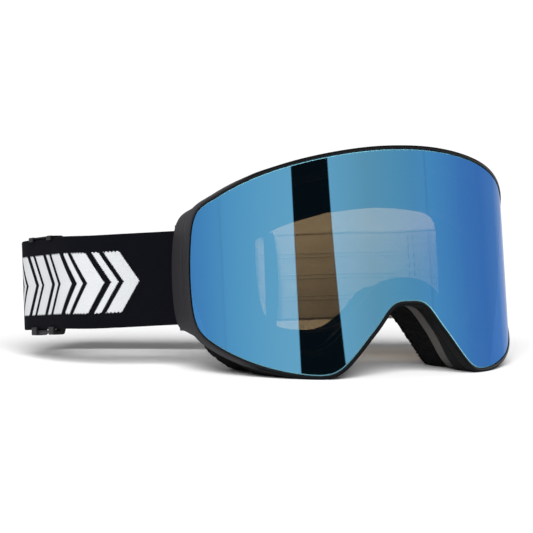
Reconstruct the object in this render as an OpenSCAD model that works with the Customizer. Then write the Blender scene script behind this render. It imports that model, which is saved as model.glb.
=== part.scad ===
// Snow goggles with a single cylindrical mirror lens, a soft frame, layered
// face foam and an elastic strap. Millimetres, +Z up. The origin is the middle
// of the lens's front face: -Y is forwards, away from the wearer, and +X is the
// wearer's left. The goggles stand on a table, leaning back by lean degrees.

/* [Lens] */
// Radius of the cylinder that the outer lens is rolled to
lens_r = 85.2; // [84.6:0.1:86.0]
// Thickness of the outer lens
outer_lens_t = 1.2; // [1.0:0.05:1.2]
// Thickness of the foam spacer between the two lenses
spacer_t = 3.0; // [2.9:0.05:3.0]
// Thickness of the inner lens
inner_lens_t = 0.8; // [0.6:0.05:0.8]
// Width of the moulded rim seen around the lens
rim_w = 1.6; // [1.5:0.05:1.65]
// Depth of the rim behind the lens surface
rim_depth = 5.8; // [5.6:0.1:5.8]
// Diameter of the disc magnets that hold the lens
magnet_d = 4.0; // [3.6:0.1:4.0]

/* [Frame] */
// Depth of the frame from the lens surface to its rear edge
frame_depth = 18.4; // [18.2:0.1:18.8]
// Thickness of the frame's outer wall
wall_t = 2.2; // [2.0:0.1:2.2]
// Half width of each top vent slot
vent_half_w = 5.5; // [4:0.5:6]
// Lean of the goggles when they stand on a table, in degrees
lean = 7.5; // [7.4:0.05:7.6]
// Height of the lens centre above the table
rest_h = 51.0; // [50.9:0.05:51.1]

/* [Face foam] */
// Rear of the stiff base layer, measured back from the lens surface
foam_base_end = 27.2; // [26:0.2:28]
// Rear of the soft middle layer
foam_mid_end = 42.0; // [40:0.2:42.4]
// Rear of the fleece that touches the face
fleece_end = 44.8; // [44:0.2:45]
// Half width of the eye opening in the flange and the stiff foam
eye_base_half_w = 58; // [56:0.5:58.5]
// Half width of the eye opening in the soft middle layer
eye_mid_half_w = 54.5; // [52:0.5:55]
// Half width of the eye opening in the fleece
eye_half_w = 46.5; // [46:0.5:49]
// Half width of the stiff foam layer
foam_half_w = 69; // [67:0.5:69]
// Half width of the soft middle layer
foam_mid_half_w = 68; // [66:0.5:68]
// Half width of the fleece
fleece_half_w = 66.5; // [64:0.5:66.5]

/* [Strap] */
// Width of the elastic strap
strap_w = 42.5; // [40:0.5:42.5]
// Thickness of the strap
strap_t = 1.5; // [1.2:0.1:1.5]
// Half the distance between the two strap bars
bar_x = 75.2; // [75.1:0.05:75.3]
// Distance of the strap bars behind the lens front
bar_y = 77.7; // [77.6:0.1:78.2]
// Diameter of the steel strap bars
bar_d = 2.8; // [2.6:0.1:2.8]
// Length of the sewn, doubled strap end
loop_len = 32; // [30:0.5:33]
// Heading of the strap as it leaves the wearer's right side, in degrees
head_right = 155.8; // [155.4:0.1:156.4]
// Heading of the strap as it arrives at the wearer's left side, in degrees
head_left = -29.1; // [-29.4:0.1:-28.8]
// Heading of the straight stretch that carries the right adjuster, in degrees
head_slider = 98; // [97:0.5:99]
// Radius of the first bend of the strap
bend_r = 34; // [33:0.5:35]
// Rise of the strap towards its back, in degrees
strap_rise = 2.4; // [1.8:0.2:2.8]

/* [Adjusters] */
// Length of an adjuster along the strap
adj_l = 24; // [22:0.5:24]
// Distance of the left adjuster from the left strap bar
adj_left_at = 107; // [98:0.5:108]

/* [Hidden] */
$fn = 64;

magnet_color = [0.72, 0.73, 0.75];
vent_foam_color = [0.16, 0.16, 0.17];
strap_color = [0.09, 0.09, 0.105];
thread_color = [0.1, 0.1, 0.11];

gap = 0.06;                  // clearance between lens, rim and frame
magnet_gap = 0.12;           // added to a magnet's diameter for its pocket
// Outer radii of the layers on the lens axis, from the front backwards
r_spacer = lens_r - outer_lens_t - 0.03;
r_inner = r_spacer - spacer_t + 0.06;
r_shelf = r_inner - inner_lens_t - 0.06;
shelf_t = 1.8;               // shelf of the rim, behind the inner lens
r_shelf_back = r_shelf - shelf_t;
r_ledge = r_shelf_back - 0.1;
ledge_t = 2.2;               // ledge of the frame, behind the shelf
shelf_w = 4.5;               // reach of shelf and ledge inside the seat outline
frame_magnet_depth = 1.3;
foot_clear = 2.3;            // height above the table of the parts inside the frame's soles
flange_end = 0.05;           // the flange stops this far before the frame's rear edge
flange_t = 2;
foam_gap = 0.04;             // clearance in front of each face foam layer

// ---- outlines --------------------------------------------------------------
// Half outline of the visible lens on the unrolled surface: [along the arc, height]
lens_half = [[0, 48.5], [14.1, 48.1], [30.8, 46.4], [49.9, 43.2], [67.5, 38.8], [84, 33],
             [98.5, 25.8], [103.6, 8.5], [102.8, -19.2], [97.4, -27.5], [67.9, -42.7],
             [40.4, -48.5], [33, -46.4], [17.5, -30.5], [7.4, -19.3], [0, -18.1]];
// Half outline of the inner lens and its seat, seen from the front: [x, z]
seat_half = [[0, 42.4], [20, 41.8], [38, 39.4], [52, 35.4], [61, 28], [65, 13], [65, -8],
             [62.5, -21], [57.5, -31], [50, -37.5], [41, -40.5], [34.5, -38.8], [26.5, -31.6],
             [18, -22.6], [9.5, -13.8], [0, -11.8]];
// Half outline of the opening for the eyes: [x, z]
eye_half = [[0, 27.8], [20, 27.6], [34, 26], [43, 20.5], [47.3, 8], [47.5, -7], [45.3, -19],
            [39.5, -26.2], [31, -28], [23, -26.4], [17, -22.8], [12, -18.3], [6.4, -12],
            [0, -9.2]];
eye_outline_half_w = max([for (point = eye_half) point[0]]);

function both_sides(half) =
  concat(half, [for (i = [len(half) - 2:-1:1]) [-half[i][0], half[i][1]]]);
function knot_step(a, b) = sqrt(norm(b - a));
// Centripetal spline from p1 up to, but not including, p2, in n points
function spline(p0, p1, p2, p3, n) =
  let (t1 = knot_step(p0, p1),
       step = knot_step(p1, p2),
       t2 = t1 + step,
       t3 = t2 + knot_step(p2, p3),
       slope1 = step * ((p1 - p0) / t1 - (p2 - p0) / t2 + (p2 - p1) / step),
       slope2 = step * ((p2 - p1) / step - (p3 - p1) / (t3 - t1) + (p3 - p2) / (t3 - t2)))
  [for (k = [0:n - 1])
    let (u = k / n, u2 = u * u, u3 = u2 * u)
    (2 * u3 - 3 * u2 + 1) * p1 + (u3 - 2 * u2 + u) * slope1
      + (3 * u2 - 2 * u3) * p2 + (u3 - u2) * slope2];
function closed_curve(half, n) =
  let (p = both_sides(half), m = len(p))
  [for (i = [0:m - 1]) each spline(p[(i + m - 1) % m], p[i], p[(i + 1) % m], p[(i + 2) % m], n)];
function unit(v) = v / norm(v);
// Outline moved outwards by d along each point's bisector; the outlines run clockwise
function grown(p, d) =
  let (m = len(p))
  [for (i = [0:m - 1])
    let (before = unit(p[i] - p[(i + m - 1) % m]),
         after = unit(p[(i + 1) % m] - p[i]),
         normal = [-before[1], before[0]],
         bisector = unit(normal + [-after[1], after[0]]))
    p[i] + bisector * d / max(0.6, bisector * normal)];
// Eye outline stretched sideways to a half width, most at its ends
function eye_widened(half_w) =
  [for (q = eye_outline)
    [q[0] * (1 + (half_w / eye_outline_half_w - 1) * abs(q[0]) / eye_outline_half_w), q[1]]];
// Unrolled outline wrapped on to the lens cylinder, seen from the front
function wrapped(p) = [for (q = p) [lens_r * sin(q[0] / lens_r * 180 / PI), q[1]]];
// Height of the sloping line that cuts back the frame's top and bottom corners
function top_cut(x) = 28.7 + 0.66 * (76.5 - abs(x));
function bottom_cut(x) = -25.1 - 1.08 * (77.8 - abs(x));

lens_unrolled = closed_curve(lens_half, 4);
lens_outline = wrapped(grown(lens_unrolled, -gap));
rim_inside = wrapped(lens_unrolled);
rim_outside = wrapped(grown(lens_unrolled, rim_w));
// The body behind the rim has its corners cut back, most at the bottom
body_outline = [for (q = rim_outside) [q[0], max(bottom_cut(q[0]), min(q[1], top_cut(q[0])))]];
wall_inside = grown(body_outline, -wall_t);
seat_outline = closed_curve(seat_half, 3);
eye_outline = closed_curve(eye_half, 3);

// ---- building blocks ---------------------------------------------------------
// Everything is drawn upright and then leaned back
module placed() {
  rotate([-lean, 0, 0]) children();
}
// Solid from y = front to y = back with the outline p, seen from the front
module prism(p, front = -6, back = 80) {
  translate([0, back, 0])
    rotate([90, 0, 0])
      linear_extrude(height = back - front) polygon(p);
}
module ring(inner, outer, front = -6, back = 80) {
  difference() {
    prism(outer, front, back);
    prism(inner, front - 1, back + 1);
  }
}
// Upright disc on the lens axis, moved back by shift
module disc(r, shift = 0) {
  translate([0, lens_r + shift, -60]) cylinder(r = r, h = 120, $fn = 180);
}
// Layer between two cylinders on the lens axis
module shell(outer_r, inner_r) {
  difference() {
    disc(outer_r);
    disc(inner_r);
  }
}
// Layer between the lens surface moved back by front and by back
module layer(front, back) {
  difference() {
    disc(lens_r, front);
    disc(lens_r, back);
  }
}
// Space higher than clear above the table
module above_table(clear = 0) {
  rotate([lean, 0, 0]) translate([-120, -40, -rest_h + clear]) cube([240, 300, 200]);
}
// Space within half_w of the middle plane
module between_sides(half_w) {
  translate([-half_w, -10, -80]) cube([2 * half_w, 200, 160]);
}
// Block around x that runs back through the frame, with its bottom at z
module window(x, half_w, z, depth) {
  translate([x - half_w, -10, z]) cube([2 * half_w, depth, 40]);
}

magnet_line = grown(seat_outline, -1.7);
// Places of the magnets: four along the top and two in each lobe
magnet_at = [for (i = [5, 12, 26, 31]) each [magnet_line[i], magnet_line[len(magnet_line) - i]]];
// A radial disc at each magnet's place, between the radii inner_r and outer_r
module magnets(inner_r, outer_r, d = magnet_d) {
  for (place = magnet_at)
    translate([0, lens_r, place[1]])
      rotate([0, 0, asin(place[0] / r_shelf)])
        translate([0, -inner_r, 0])
          rotate([90, 0, 0]) cylinder(d = d, h = outer_r - inner_r, $fn = 32);
}

// ---- lens cartridge ----------------------------------------------------------
module outer_lens() {
  color([0.25, 0.55, 0.78]) placed() intersection() {
    prism(lens_outline);
    shell(lens_r, lens_r - outer_lens_t);
  }
}
module lens_spacer_gasket() {
  color([0.12, 0.12, 0.13]) placed() intersection() {
    ring(grown(seat_outline, -3.2), seat_outline);
    shell(r_spacer, r_inner + 0.03);
  }
}
module inner_lens() {
  color([0.75, 0.68, 0.6]) placed() intersection() {
    prism(seat_outline);
    shell(r_inner, r_inner - inner_lens_t);
  }
}

seat_inside = grown(seat_outline, 0.3);
seat_outside = grown(seat_outline, 1.5);
r_behind_lens = lens_r - outer_lens_t - 0.05;
// Rim around the lens and the web behind the lens, inwards to the seat
module rim_front() {
  difference() {
    intersection() {
      union() {
        ring(rim_inside, rim_outside);
        intersection() {
          ring(seat_inside, grown(rim_inside, 0.2));
          disc(r_behind_lens);
        }
      }
      disc(lens_r + 0.4);
    }
    disc(lens_r, rim_depth);
  }
}
// Wall around the inner lens, and the shelf behind it
module rim_seat() {
  intersection() {
    ring(seat_inside, seat_outside);
    shell(r_behind_lens, r_shelf_back);
  }
  intersection() {
    ring(grown(seat_outline, -shelf_w), seat_outside);
    shell(r_shelf, r_shelf_back);
  }
}
module lens_rim() {
  color([0.06, 0.06, 0.07]) placed() difference() {
    intersection() {
      union() {
        rim_front();
        rim_seat();
      }
      above_table();
    }
    magnets(r_shelf_back - 1, r_shelf - 0.5, magnet_d + magnet_gap);
  }
}
module lens_magnets() {
  color(magnet_color) placed() magnets(r_shelf_back + 0.02, r_shelf - 0.55);
}

// ---- frame -------------------------------------------------------------------
frame_front = rim_depth + gap;
frame_inside_end = frame_depth - 2.1;   // rear of the frame's inner parts
skirt_inside = grown(seat_outline, 1.8);
lobe_vent_x = 53;
top_z = 20;                             // windows in the top start here
bottom_z = -60;                         // windows in the bottom start here
bar_half_l = 25;
lug_t = 2.6;

// Slots through the top of the wall and one under each lobe
module vents() {
  intersection() {
    ring(grown(wall_inside, -0.4), grown(rim_outside, 1));
    layer(9.2, 15);
    union() {
      for (x = [-48:16:48]) window(x, vent_half_w, top_z, 90);
      for (x = [-lobe_vent_x, lobe_vent_x]) window(x, 3, bottom_z, 90);
    }
  }
}
// Lug on the wearer's left that holds an end of the strap bar, with its bottom at z
module bar_lug(z) {
  intersection() {
    prism(grown(body_outline, -0.5), back = 95);
    translate([0, 0, z]) linear_extrude(height = lug_t) union() {
      polygon([[78.4, 64], [78.2, 70.6], [bar_x + 2.1, bar_y + 1.2],
               [bar_x - 1.9, bar_y + 1.4], [bar_x - 2.2, 70], [75.6, 64]]);
      translate([bar_x, bar_y]) circle(r = 2.4, $fn = 32);
    }
  }
}
module frame_solid() {
  // outer wall
  intersection() {
    ring(wall_inside, body_outline);
    layer(frame_front, frame_depth);
  }
  // front web between the skirt and the wall
  intersection() {
    ring(skirt_inside, grown(wall_inside, 0.3));
    layer(frame_front, 8);
  }
  // skirt around the seat
  intersection() {
    ring(skirt_inside, grown(seat_outline, 3.2));
    layer(frame_front, frame_inside_end);
  }
  // ledge behind the rim's shelf
  intersection() {
    ring(grown(seat_outline, -shelf_w), grown(seat_outline, 3.0));
    shell(r_ledge, r_ledge - ledge_t);
    layer(0, frame_inside_end);
  }
  // flat soles that the lobes stand on
  intersection() {
    prism(grown(body_outline, -0.02));
    layer(frame_front, frame_depth);
    difference() {
      above_table(-1);
      above_table(2.2);
    }
  }
  for (side = [0, 1])
    mirror([side, 0, 0])
      for (z = [bar_half_l - lug_t, -bar_half_l]) bar_lug(z);
}
module frame_body() {
  color([0.2, 0.2, 0.215]) placed() intersection() {
    difference() {
      union() frame_solid();
      vents();
      magnets(r_ledge - frame_magnet_depth, r_ledge + 1, magnet_d + magnet_gap);
      for (x = [-bar_x, bar_x])
        translate([x, bar_y, -30]) cylinder(d = bar_d + 0.06, h = 60, $fn = 32);
    }
    above_table();
  }
}
module frame_magnets() {
  color(magnet_color) placed() magnets(r_ledge - frame_magnet_depth + 0.02, r_ledge - 0.03);
}
module face_flange() {
  color([0.08, 0.08, 0.09]) placed() intersection() {
    ring(grown(eye_widened(eye_base_half_w), 1.5), grown(wall_inside, -0.12), back = 110);
    layer(frame_depth - flange_end - flange_t, frame_depth - flange_end);
    between_sides(foam_half_w + 1);
    above_table(foot_clear);
  }
}
// Foam lining inside the wall, where it meets the child
module vent_foam() {
  color(vent_foam_color) placed() intersection() {
    ring(grown(wall_inside, -1.2), grown(wall_inside, -0.12));
    layer(8.2, frame_depth - 2.2);
    children();
  }
}
module top_vent_foam() {
  vent_foam() window(0, 56, top_z, 100);
}
module bottom_vent_foams() {
  vent_foam() intersection() {
    union() {
      for (x = [-lobe_vent_x, lobe_vent_x]) window(x, 7, bottom_z, 100);
    }
    above_table(foot_clear);
  }
}

// ---- face foam ----------------------------------------------------------------
// Layer from front to back, smaller than the body by inset, with an eye opening
module foam_layer(front, back, inset, half_w, opening_half_w) {
  intersection() {
    ring(eye_widened(opening_half_w), grown(body_outline, -inset), back = 125);
    layer(front + foam_gap, back);
    between_sides(half_w);
    above_table();
  }
}
module face_foam_base() {
  color([0.27, 0.26, 0.25]) placed()
    foam_layer(frame_depth, foam_base_end, 2, foam_half_w, eye_base_half_w);
}
module face_foam_middle() {
  color([0.1, 0.1, 0.105]) placed()
    foam_layer(foam_base_end, foam_mid_end, 2, foam_mid_half_w, eye_mid_half_w);
}
module face_fleece() {
  color([0.07, 0.07, 0.075]) placed()
    foam_layer(foam_mid_end, fleece_end, 2.4, fleece_half_w, eye_half_w);
}

// ---- strap path ----------------------------------------------------------------
// Seen from above, the strap's middle runs from the right bar to the left one:
// a straight, a bend, the slider straight, a second bend and a last straight
function along(angle) = [cos(angle), sin(angle)];
function left_of(angle) = [-sin(angle), cos(angle)];
loop_inner_r = bar_d / 2 + 0.08;
loop_outer_r = loop_inner_r + strap_t;
bar_offset = loop_inner_r + strap_t / 2;  // from a bar to the middle of the outer layer
path_start = [-bar_x, bar_y] + bar_offset * left_of(head_right);
path_end = [bar_x, bar_y] + bar_offset * left_of(head_left);
first_len = 28;
slider_len = 32;
bend1_center = path_start + first_len * along(head_right) - bend_r * left_of(head_right);
slider_from = bend1_center + bend_r * left_of(head_slider);
slider_to = slider_from + slider_len * along(head_slider);
// The second bend's radius and the last straight's length close the path on the left bar
bend2_chord = left_of(head_left) - left_of(head_slider);
last_dir = along(head_left);
to_close = path_end - slider_to;
bend2_r = cross(to_close, last_dir) / cross(bend2_chord, last_dir);
last_len = cross(bend2_chord, to_close) / cross(bend2_chord, last_dir);
bend2_center = slider_to - bend2_r * left_of(head_slider);
// Distances along the strap from the right bar
bend1_end = first_len + bend_r * (head_right - head_slider) * PI / 180;
slider_end = bend1_end + slider_len;
bend2_end = slider_end + bend2_r * (head_slider - head_left) * PI / 180;
strap_len = bend2_end + last_len;

// Heading of the strap at the distance s
function heading(s) =
  s <= first_len ? head_right :
  s <= bend1_end ? head_right - (s - first_len) / bend_r * 180 / PI :
  s <= slider_end ? head_slider :
  s <= bend2_end ? head_slider - (s - slider_end) / bend2_r * 180 / PI :
  head_left;
// Point of the strap's middle at the distance s
function strap_point(s) =
  s <= first_len ? path_start + s * along(head_right) :
  s <= bend1_end ? bend1_center + bend_r * left_of(heading(s)) :
  s <= slider_end ? slider_from + (s - bend1_end) * along(head_slider) :
  s <= bend2_end ? bend2_center + bend2_r * left_of(heading(s)) :
  path_end - (strap_len - s) * along(head_left);

band_start = loop_len + 2.6;  // clearance, so that the band can tilt beside the sewn ends
bend1_from = max(band_start, first_len) + 0.2;
stations = concat([band_start],
                  [for (k = [1:9]) bend1_from + (bend1_end - bend1_from) * k / 9],
                  [slider_end],
                  [for (k = [1:24]) slider_end + (bend2_end - slider_end) * k / 24],
                  [strap_len - band_start]);
function beside(s, offset) = strap_point(s) + offset * left_of(heading(s));
// Plan of a strip along the strap, between two offsets towards its outer side
function strip(a, b) =
  concat([for (s = stations) beside(s, a)],
         [for (i = [len(stations) - 1:-1:0]) beside(stations[i], b)]);

// ---- strap ---------------------------------------------------------------------
module strap_bar(side) {
  color([0.62, 0.63, 0.65]) placed()
    translate([side * bar_x, bar_y, -bar_half_l])
      cylinder(d = bar_d, h = 2 * bar_half_l, $fn = 32);
}
module strap_bar_right() { strap_bar(-1); }
module strap_bar_left() { strap_bar(1); }

// Sewn end of the strap round its bar. x runs along the strap, y to the strap's outer side
module loop_shape() {
  lap_y = loop_inner_r - strap_t - 0.02;
  lap_top = loop_inner_r + 0.05;
  lap_len = loop_len - 2;
  difference() {
    union() {
      circle(r = loop_outer_r, $fn = 40);
      translate([0, loop_inner_r]) square([loop_len, strap_t]);
      polygon([[0, -loop_outer_r], [13, lap_y], [lap_len, lap_y],
               [lap_len, lap_top], [11.5, lap_top], [0, -loop_inner_r]]);
    }
    circle(r = loop_inner_r, $fn = 40);
  }
}
module at_right_bar() {
  placed() translate([-bar_x, bar_y, 0]) rotate([0, 0, head_right]) children();
}
// The left end runs from the bar back along the strap, mirrored so that y stays outside
module at_left_bar() {
  placed() translate([bar_x, bar_y, 0])
    rotate([0, 0, head_left + 180]) mirror([0, 1, 0]) children();
}
module strap_loop() {
  color(strap_color)
    translate([0, 0, -strap_w / 2]) linear_extrude(height = strap_w) loop_shape();
}
module strap_loop_right() { at_right_bar() strap_loop(); }
module strap_loop_left() { at_left_bar() strap_loop(); }

// Upright rows of stitches at each x of rows, count to a row, centred on z = 0
module stitches(rows, y, count) {
  pitch = 4.4;
  length = 2.6;
  color(thread_color)
    for (x = rows, i = [0:count - 1])
      translate([x, y, (i - (count - 1) / 2) * pitch - length / 2])
        cylinder(d = 0.5, h = length, $fn = 16);
}
// Seams on the inner face of the doubled end
module loop_seam() {
  stitches(rows = [27.5, 30.5], y = loop_inner_r - strap_t - 0.3, count = 9);
}
module stitching_right() { at_right_bar() loop_seam(); }
module stitching_left() { at_left_bar() loop_seam(); }

// The strap between its sewn ends rises towards the back, turned about the line of the two bars
module risen() {
  translate([0, bar_y, 0]) rotate([strap_rise, 0, 0]) translate([0, -bar_y, 0]) children();
}
module strap_band() {
  color(strap_color) placed() risen()
    translate([0, 0, -strap_w / 2])
      linear_extrude(height = strap_w) polygon(strip(strap_t / 2, -strap_t / 2));
}
// Three pairs of lines on the inner face of the band
module strap_grip_lines() {
  line_w = 0.7;
  color([0.8, 0.82, 0.83]) placed() risen()
    for (z = [-10.4, 0, 10.4], side = [-1, 1])
      translate([0, 0, z + side * 0.9 - line_w / 2])
        linear_extrude(height = line_w)
          polygon(strip(-strap_t / 2 - 0.02, -strap_t / 2 - 0.3));
}

// ---- adjusters -------------------------------------------------------------------
// x runs along the strap, y to its outer side, and the strap's middle is y = 0
module on_strap(s) {
  placed() risen() translate(concat(strap_point(s), 0)) rotate([0, 0, heading(s)]) children();
}
module on_right() { on_strap(bend1_end + slider_len / 2) children(); }
module on_left() { on_strap(strap_len - adj_left_at) children(); }

// Block centred on x, with its inner side at y and its bottom at z
module block(x, y, z, size) {
  translate([x - size[0] / 2, y, z]) cube(size);
}
// The same block flush with each end of the adjuster
module end_blocks(y, z, size) {
  for (end = [-1, 1]) block(end * (adj_l / 2 - size[0] / 2), y, z, size);
}
module adjuster_frame() {
  edge = strap_w / 2;
  inner_y = -4.4;
  depth = 5.6;
  lip_y = 1.05;
  foot_z = -edge - 2.7;
  bar_h = 2 * edge + 2;
  corner_r = 2;
  color([0.05, 0.05, 0.055]) difference() {
    union() {
      // thin rail above the strap and thicker rail below it
      block(0, inner_y, edge + 0.2, [adj_l, depth, 1]);
      block(0, inner_y, -edge - 1.9, [adj_l, depth, 1.55]);
      // upper lips, feet and lower lips that hold the strap's edges
      end_blocks(lip_y, edge - 1.2, [5, 1, 2.6]);
      end_blocks(inner_y, foot_z, [6, depth, 1.5]);
      end_blocks(lip_y, foot_z, [6, 1, 3.9]);
      // end bars and middle bar on the strap's inner side
      end_blocks(inner_y, -edge - 1, [4.6, 2.8, bar_h]);
      block(0, inner_y, -edge - 1, [3.2, 1.8, bar_h]);
    }
    // rounded lower corners
    for (end = [-1, 1])
      translate([end * adj_l / 2, 0, foot_z]) rotate([90, 0, 0]) difference() {
        cube([2 * corner_r, 2 * corner_r, 20], center = true);
        translate([-end * corner_r, corner_r, 0])
          cylinder(r = corner_r, h = 30, center = true, $fn = 32);
      }
  }
}
tab_y = -6.55;  // inner face of the tab's flap
// Sleeve round the middle bar, with a flap towards the right bar
module adjuster_tab() {
  tab_w = strap_w - 1.4;
  color(strap_color) translate([0, 0, -tab_w / 2]) difference() {
    union() {
      block(0, -5.6, 0, [5.6, 4.2, tab_w]);
      translate([-20, tab_y, 0]) cube([20, 2, tab_w]);
    }
    block(0, -4.55, -1, [3.5, 2.1, tab_w + 2]);
  }
}
module tab_seam() {
  stitches(rows = [-17.5, -15], y = tab_y - 0.3, count = 8);
}
module adjuster_frame_right() { on_right() adjuster_frame(); }
module adjuster_frame_left() { on_left() adjuster_frame(); }
module adjuster_tab_right() { on_right() adjuster_tab(); }
module adjuster_tab_left() { on_left() adjuster_tab(); }
module tab_stitching_right() { on_right() tab_seam(); }
module tab_stitching_left() { on_left() tab_seam(); }

outer_lens();
lens_spacer_gasket();
inner_lens();
lens_rim();
lens_magnets();
frame_body();
frame_magnets();
face_flange();
top_vent_foam();
bottom_vent_foams();
face_foam_base();
face_foam_middle();
face_fleece();
strap_bar_right();
strap_bar_left();
strap_loop_right();
strap_loop_left();
stitching_right();
stitching_left();
strap_band();
strap_grip_lines();
adjuster_frame_right();
adjuster_frame_left();
adjuster_tab_right();
adjuster_tab_left();
tab_stitching_right();
tab_stitching_left();
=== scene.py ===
# Ski goggles: a mirrored lens cartridge held by magnets, a frame with face foam, and a woven
# strap with two adjusters.
# Design frame, in mm: x to the wearer's left, y back towards the face, z up. The origin is the
# middle of the lens front. The scene frame, in metres, leans the design frame about x.
import math

import bpy
import bmesh
import numpy as np
from mathutils import Matrix, Vector, noise


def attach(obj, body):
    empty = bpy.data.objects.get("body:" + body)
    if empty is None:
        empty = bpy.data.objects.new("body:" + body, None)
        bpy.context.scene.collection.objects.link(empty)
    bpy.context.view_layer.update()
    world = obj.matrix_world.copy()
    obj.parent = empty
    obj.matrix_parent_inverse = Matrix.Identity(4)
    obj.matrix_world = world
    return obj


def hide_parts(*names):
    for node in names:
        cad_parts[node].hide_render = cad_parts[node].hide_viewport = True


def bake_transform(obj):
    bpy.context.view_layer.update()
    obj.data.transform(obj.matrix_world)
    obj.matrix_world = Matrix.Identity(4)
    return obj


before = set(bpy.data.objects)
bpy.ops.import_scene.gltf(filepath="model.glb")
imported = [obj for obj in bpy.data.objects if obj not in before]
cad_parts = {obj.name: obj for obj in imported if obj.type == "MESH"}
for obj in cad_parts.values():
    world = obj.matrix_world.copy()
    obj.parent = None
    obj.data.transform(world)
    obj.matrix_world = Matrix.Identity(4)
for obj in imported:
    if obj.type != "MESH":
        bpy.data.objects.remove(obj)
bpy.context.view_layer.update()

scene = bpy.context.scene

# ------------------------------------------------------------------ sizes (mm)
MM = 0.001
LEAN = math.radians(7.5)
LEAN_COS, LEAN_SIN = math.cos(LEAN), math.sin(LEAN)
RADIUS = 85.2  # front of the lens, a cylinder on an upright axis
TABLE = -51.0  # height of the table in the scene frame
RESTING = TABLE + 0.02  # lowest height of the parts that rest on the table
SHELF_RADIUS = 80.17  # shelf of the lens rim
LEDGE_RADIUS = 78.27  # ledge of the frame that meets the lens rim
BAR_X, BAR_Y = 75.2, 77.7  # the two upright strap bars, at -x and +x

# Left halves of the closed outlines, from the top middle to the nose: (x, z)
LENS_EDGE = [
    [0, 48.5], [14.1, 48.1], [30.8, 46.4], [49.9, 43.2], [67.5, 38.8], [84, 33],
    [98.5, 25.8], [103.6, 8.5], [102.8, -19.2], [97.4, -27.5], [67.9, -42.7],
    [40.4, -48.5], [33, -46.4], [17.5, -30.5], [7.4, -19.3], [0, -18.1]]
SEAT_EDGE = [
    [0, 42.4], [20, 41.8], [38, 39.4], [52, 35.4], [61, 28], [65, 13], [65, -8],
    [62.5, -21], [57.5, -31], [50, -37.5], [41, -40.5], [34.5, -38.8], [26.5, -31.6],
    [18, -22.6], [9.5, -13.8], [0, -11.8]]
EYE_EDGE = [
    [0, 27.8], [20, 27.6], [34, 26], [43, 20.5], [47.3, 8], [47.5, -7], [45.3, -19],
    [39.5, -26.2], [31, -28], [23, -26.4], [17, -22.8], [12, -18.3], [6.4, -12], [0, -9.2]]
# Points of half an outline: top to side, side to lobe, lobe to nose
COUNTS = (96, 84, 80)


def to_scene(points):
    x, y, z = np.moveaxis(np.asarray(points, float), -1, 0)
    return np.stack([x, y * LEAN_COS + z * LEAN_SIN, -y * LEAN_SIN + z * LEAN_COS], -1) * MM


def to_design(points):
    x, y, z = np.moveaxis(np.asarray(points, float) * 1000, -1, 0)
    return np.stack([x, y * LEAN_COS - z * LEAN_SIN, y * LEAN_SIN + z * LEAN_COS], -1)


# ------------------------------------------------------------------ outlines
def closed(half):
    """Whole outline from its left half."""
    return np.vstack([half, half[-2:0:-1] * [-1, 1]])


def smooth_half(half, steps=24):
    """Centripetal spline through the left half of an outline."""
    half = np.array(half, float)
    full = closed(half)
    out = []
    for i in range(len(half) - 1):
        p0, p1, p2, p3 = (full[(i + k) % len(full)] for k in (-1, 0, 1, 2))
        t1 = math.sqrt(np.linalg.norm(p1 - p0))
        t2 = t1 + math.sqrt(np.linalg.norm(p2 - p1))
        t3 = t2 + math.sqrt(np.linalg.norm(p3 - p2))
        span = t2 - t1
        slope1 = span * ((p1 - p0) / t1 - (p2 - p0) / t2 + (p2 - p1) / span)
        slope2 = span * ((p2 - p1) / span - (p3 - p1) / (t3 - t1) + (p3 - p2) / (t3 - t2))
        for k in range(steps):
            u = k / steps
            u2, u3 = u * u, u ** 3
            out.append((2 * u3 - 3 * u2 + 1) * p1 + (u3 - 2 * u2 + u) * slope1
                       + (3 * u2 - 2 * u3) * p2 + (u3 - u2) * slope2)
    out.append(half[-1])
    return np.array(out)


def outline(half):
    """Closed outline with matching point counts, so that two outlines can be lofted."""
    curve = smooth_half(half)
    marks = [0, int(np.argmax(curve[:, 0])), int(np.argmin(curve[:, 1])), len(curve) - 1]
    runs = []
    for start, stop, count in zip(marks, marks[1:], COUNTS):
        run = curve[start:stop + 1]
        arc = np.r_[0, np.cumsum(np.linalg.norm(np.diff(run, axis=0), axis=1))]
        even = np.linspace(0, arc[-1], count + 1)[:-1]
        runs.append(np.c_[np.interp(even, arc, run[:, 0]), np.interp(even, arc, run[:, 1])])
    return closed(np.vstack(runs + [curve[-1:]]))


def grown(line, distance):
    along = np.roll(line, -1, 0) - np.roll(line, 1, 0)
    along /= np.linalg.norm(along, axis=1)[:, None]
    return line + np.c_[-along[:, 1], along[:, 0]] * distance


def wrapped(line):
    """Flat outline bent round the lens cylinder, seen from the front."""
    return np.c_[RADIUS * np.sin(line[:, 0] / RADIUS), line[:, 1]]


def relaxed(line, times):
    for _ in range(times):
        line = line * 0.5 + (np.roll(line, 1, 0) + np.roll(line, -1, 0)) * 0.25
    return line


def mixed(a, b, t):
    return a * (1 - t) + b * t


def ease(t):
    return t * t * (3 - 2 * t)


def behind_lens(line, depth):
    """Outline laid on the lens surface moved back by depth."""
    return np.c_[line[:, 0], RADIUS + depth - np.sqrt(RADIUS * RADIUS - line[:, 0] ** 2),
                 line[:, 1]]


def on_radius(line, radius):
    """Outline laid on the cylinder of a radius on the lens axis."""
    inside = np.maximum(radius * radius - line[:, 0] ** 2, 1.0)
    return np.c_[line[:, 0], RADIUS - np.sqrt(inside), line[:, 1]]


LENS, SEAT, EYE = outline(LENS_EDGE), outline(SEAT_EDGE), outline(EYE_EDGE)
RIM = wrapped(grown(LENS, 1.6))
POINTS = len(LENS)


def seat_at(offset, radius):
    return on_radius(grown(SEAT, offset), radius)


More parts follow.
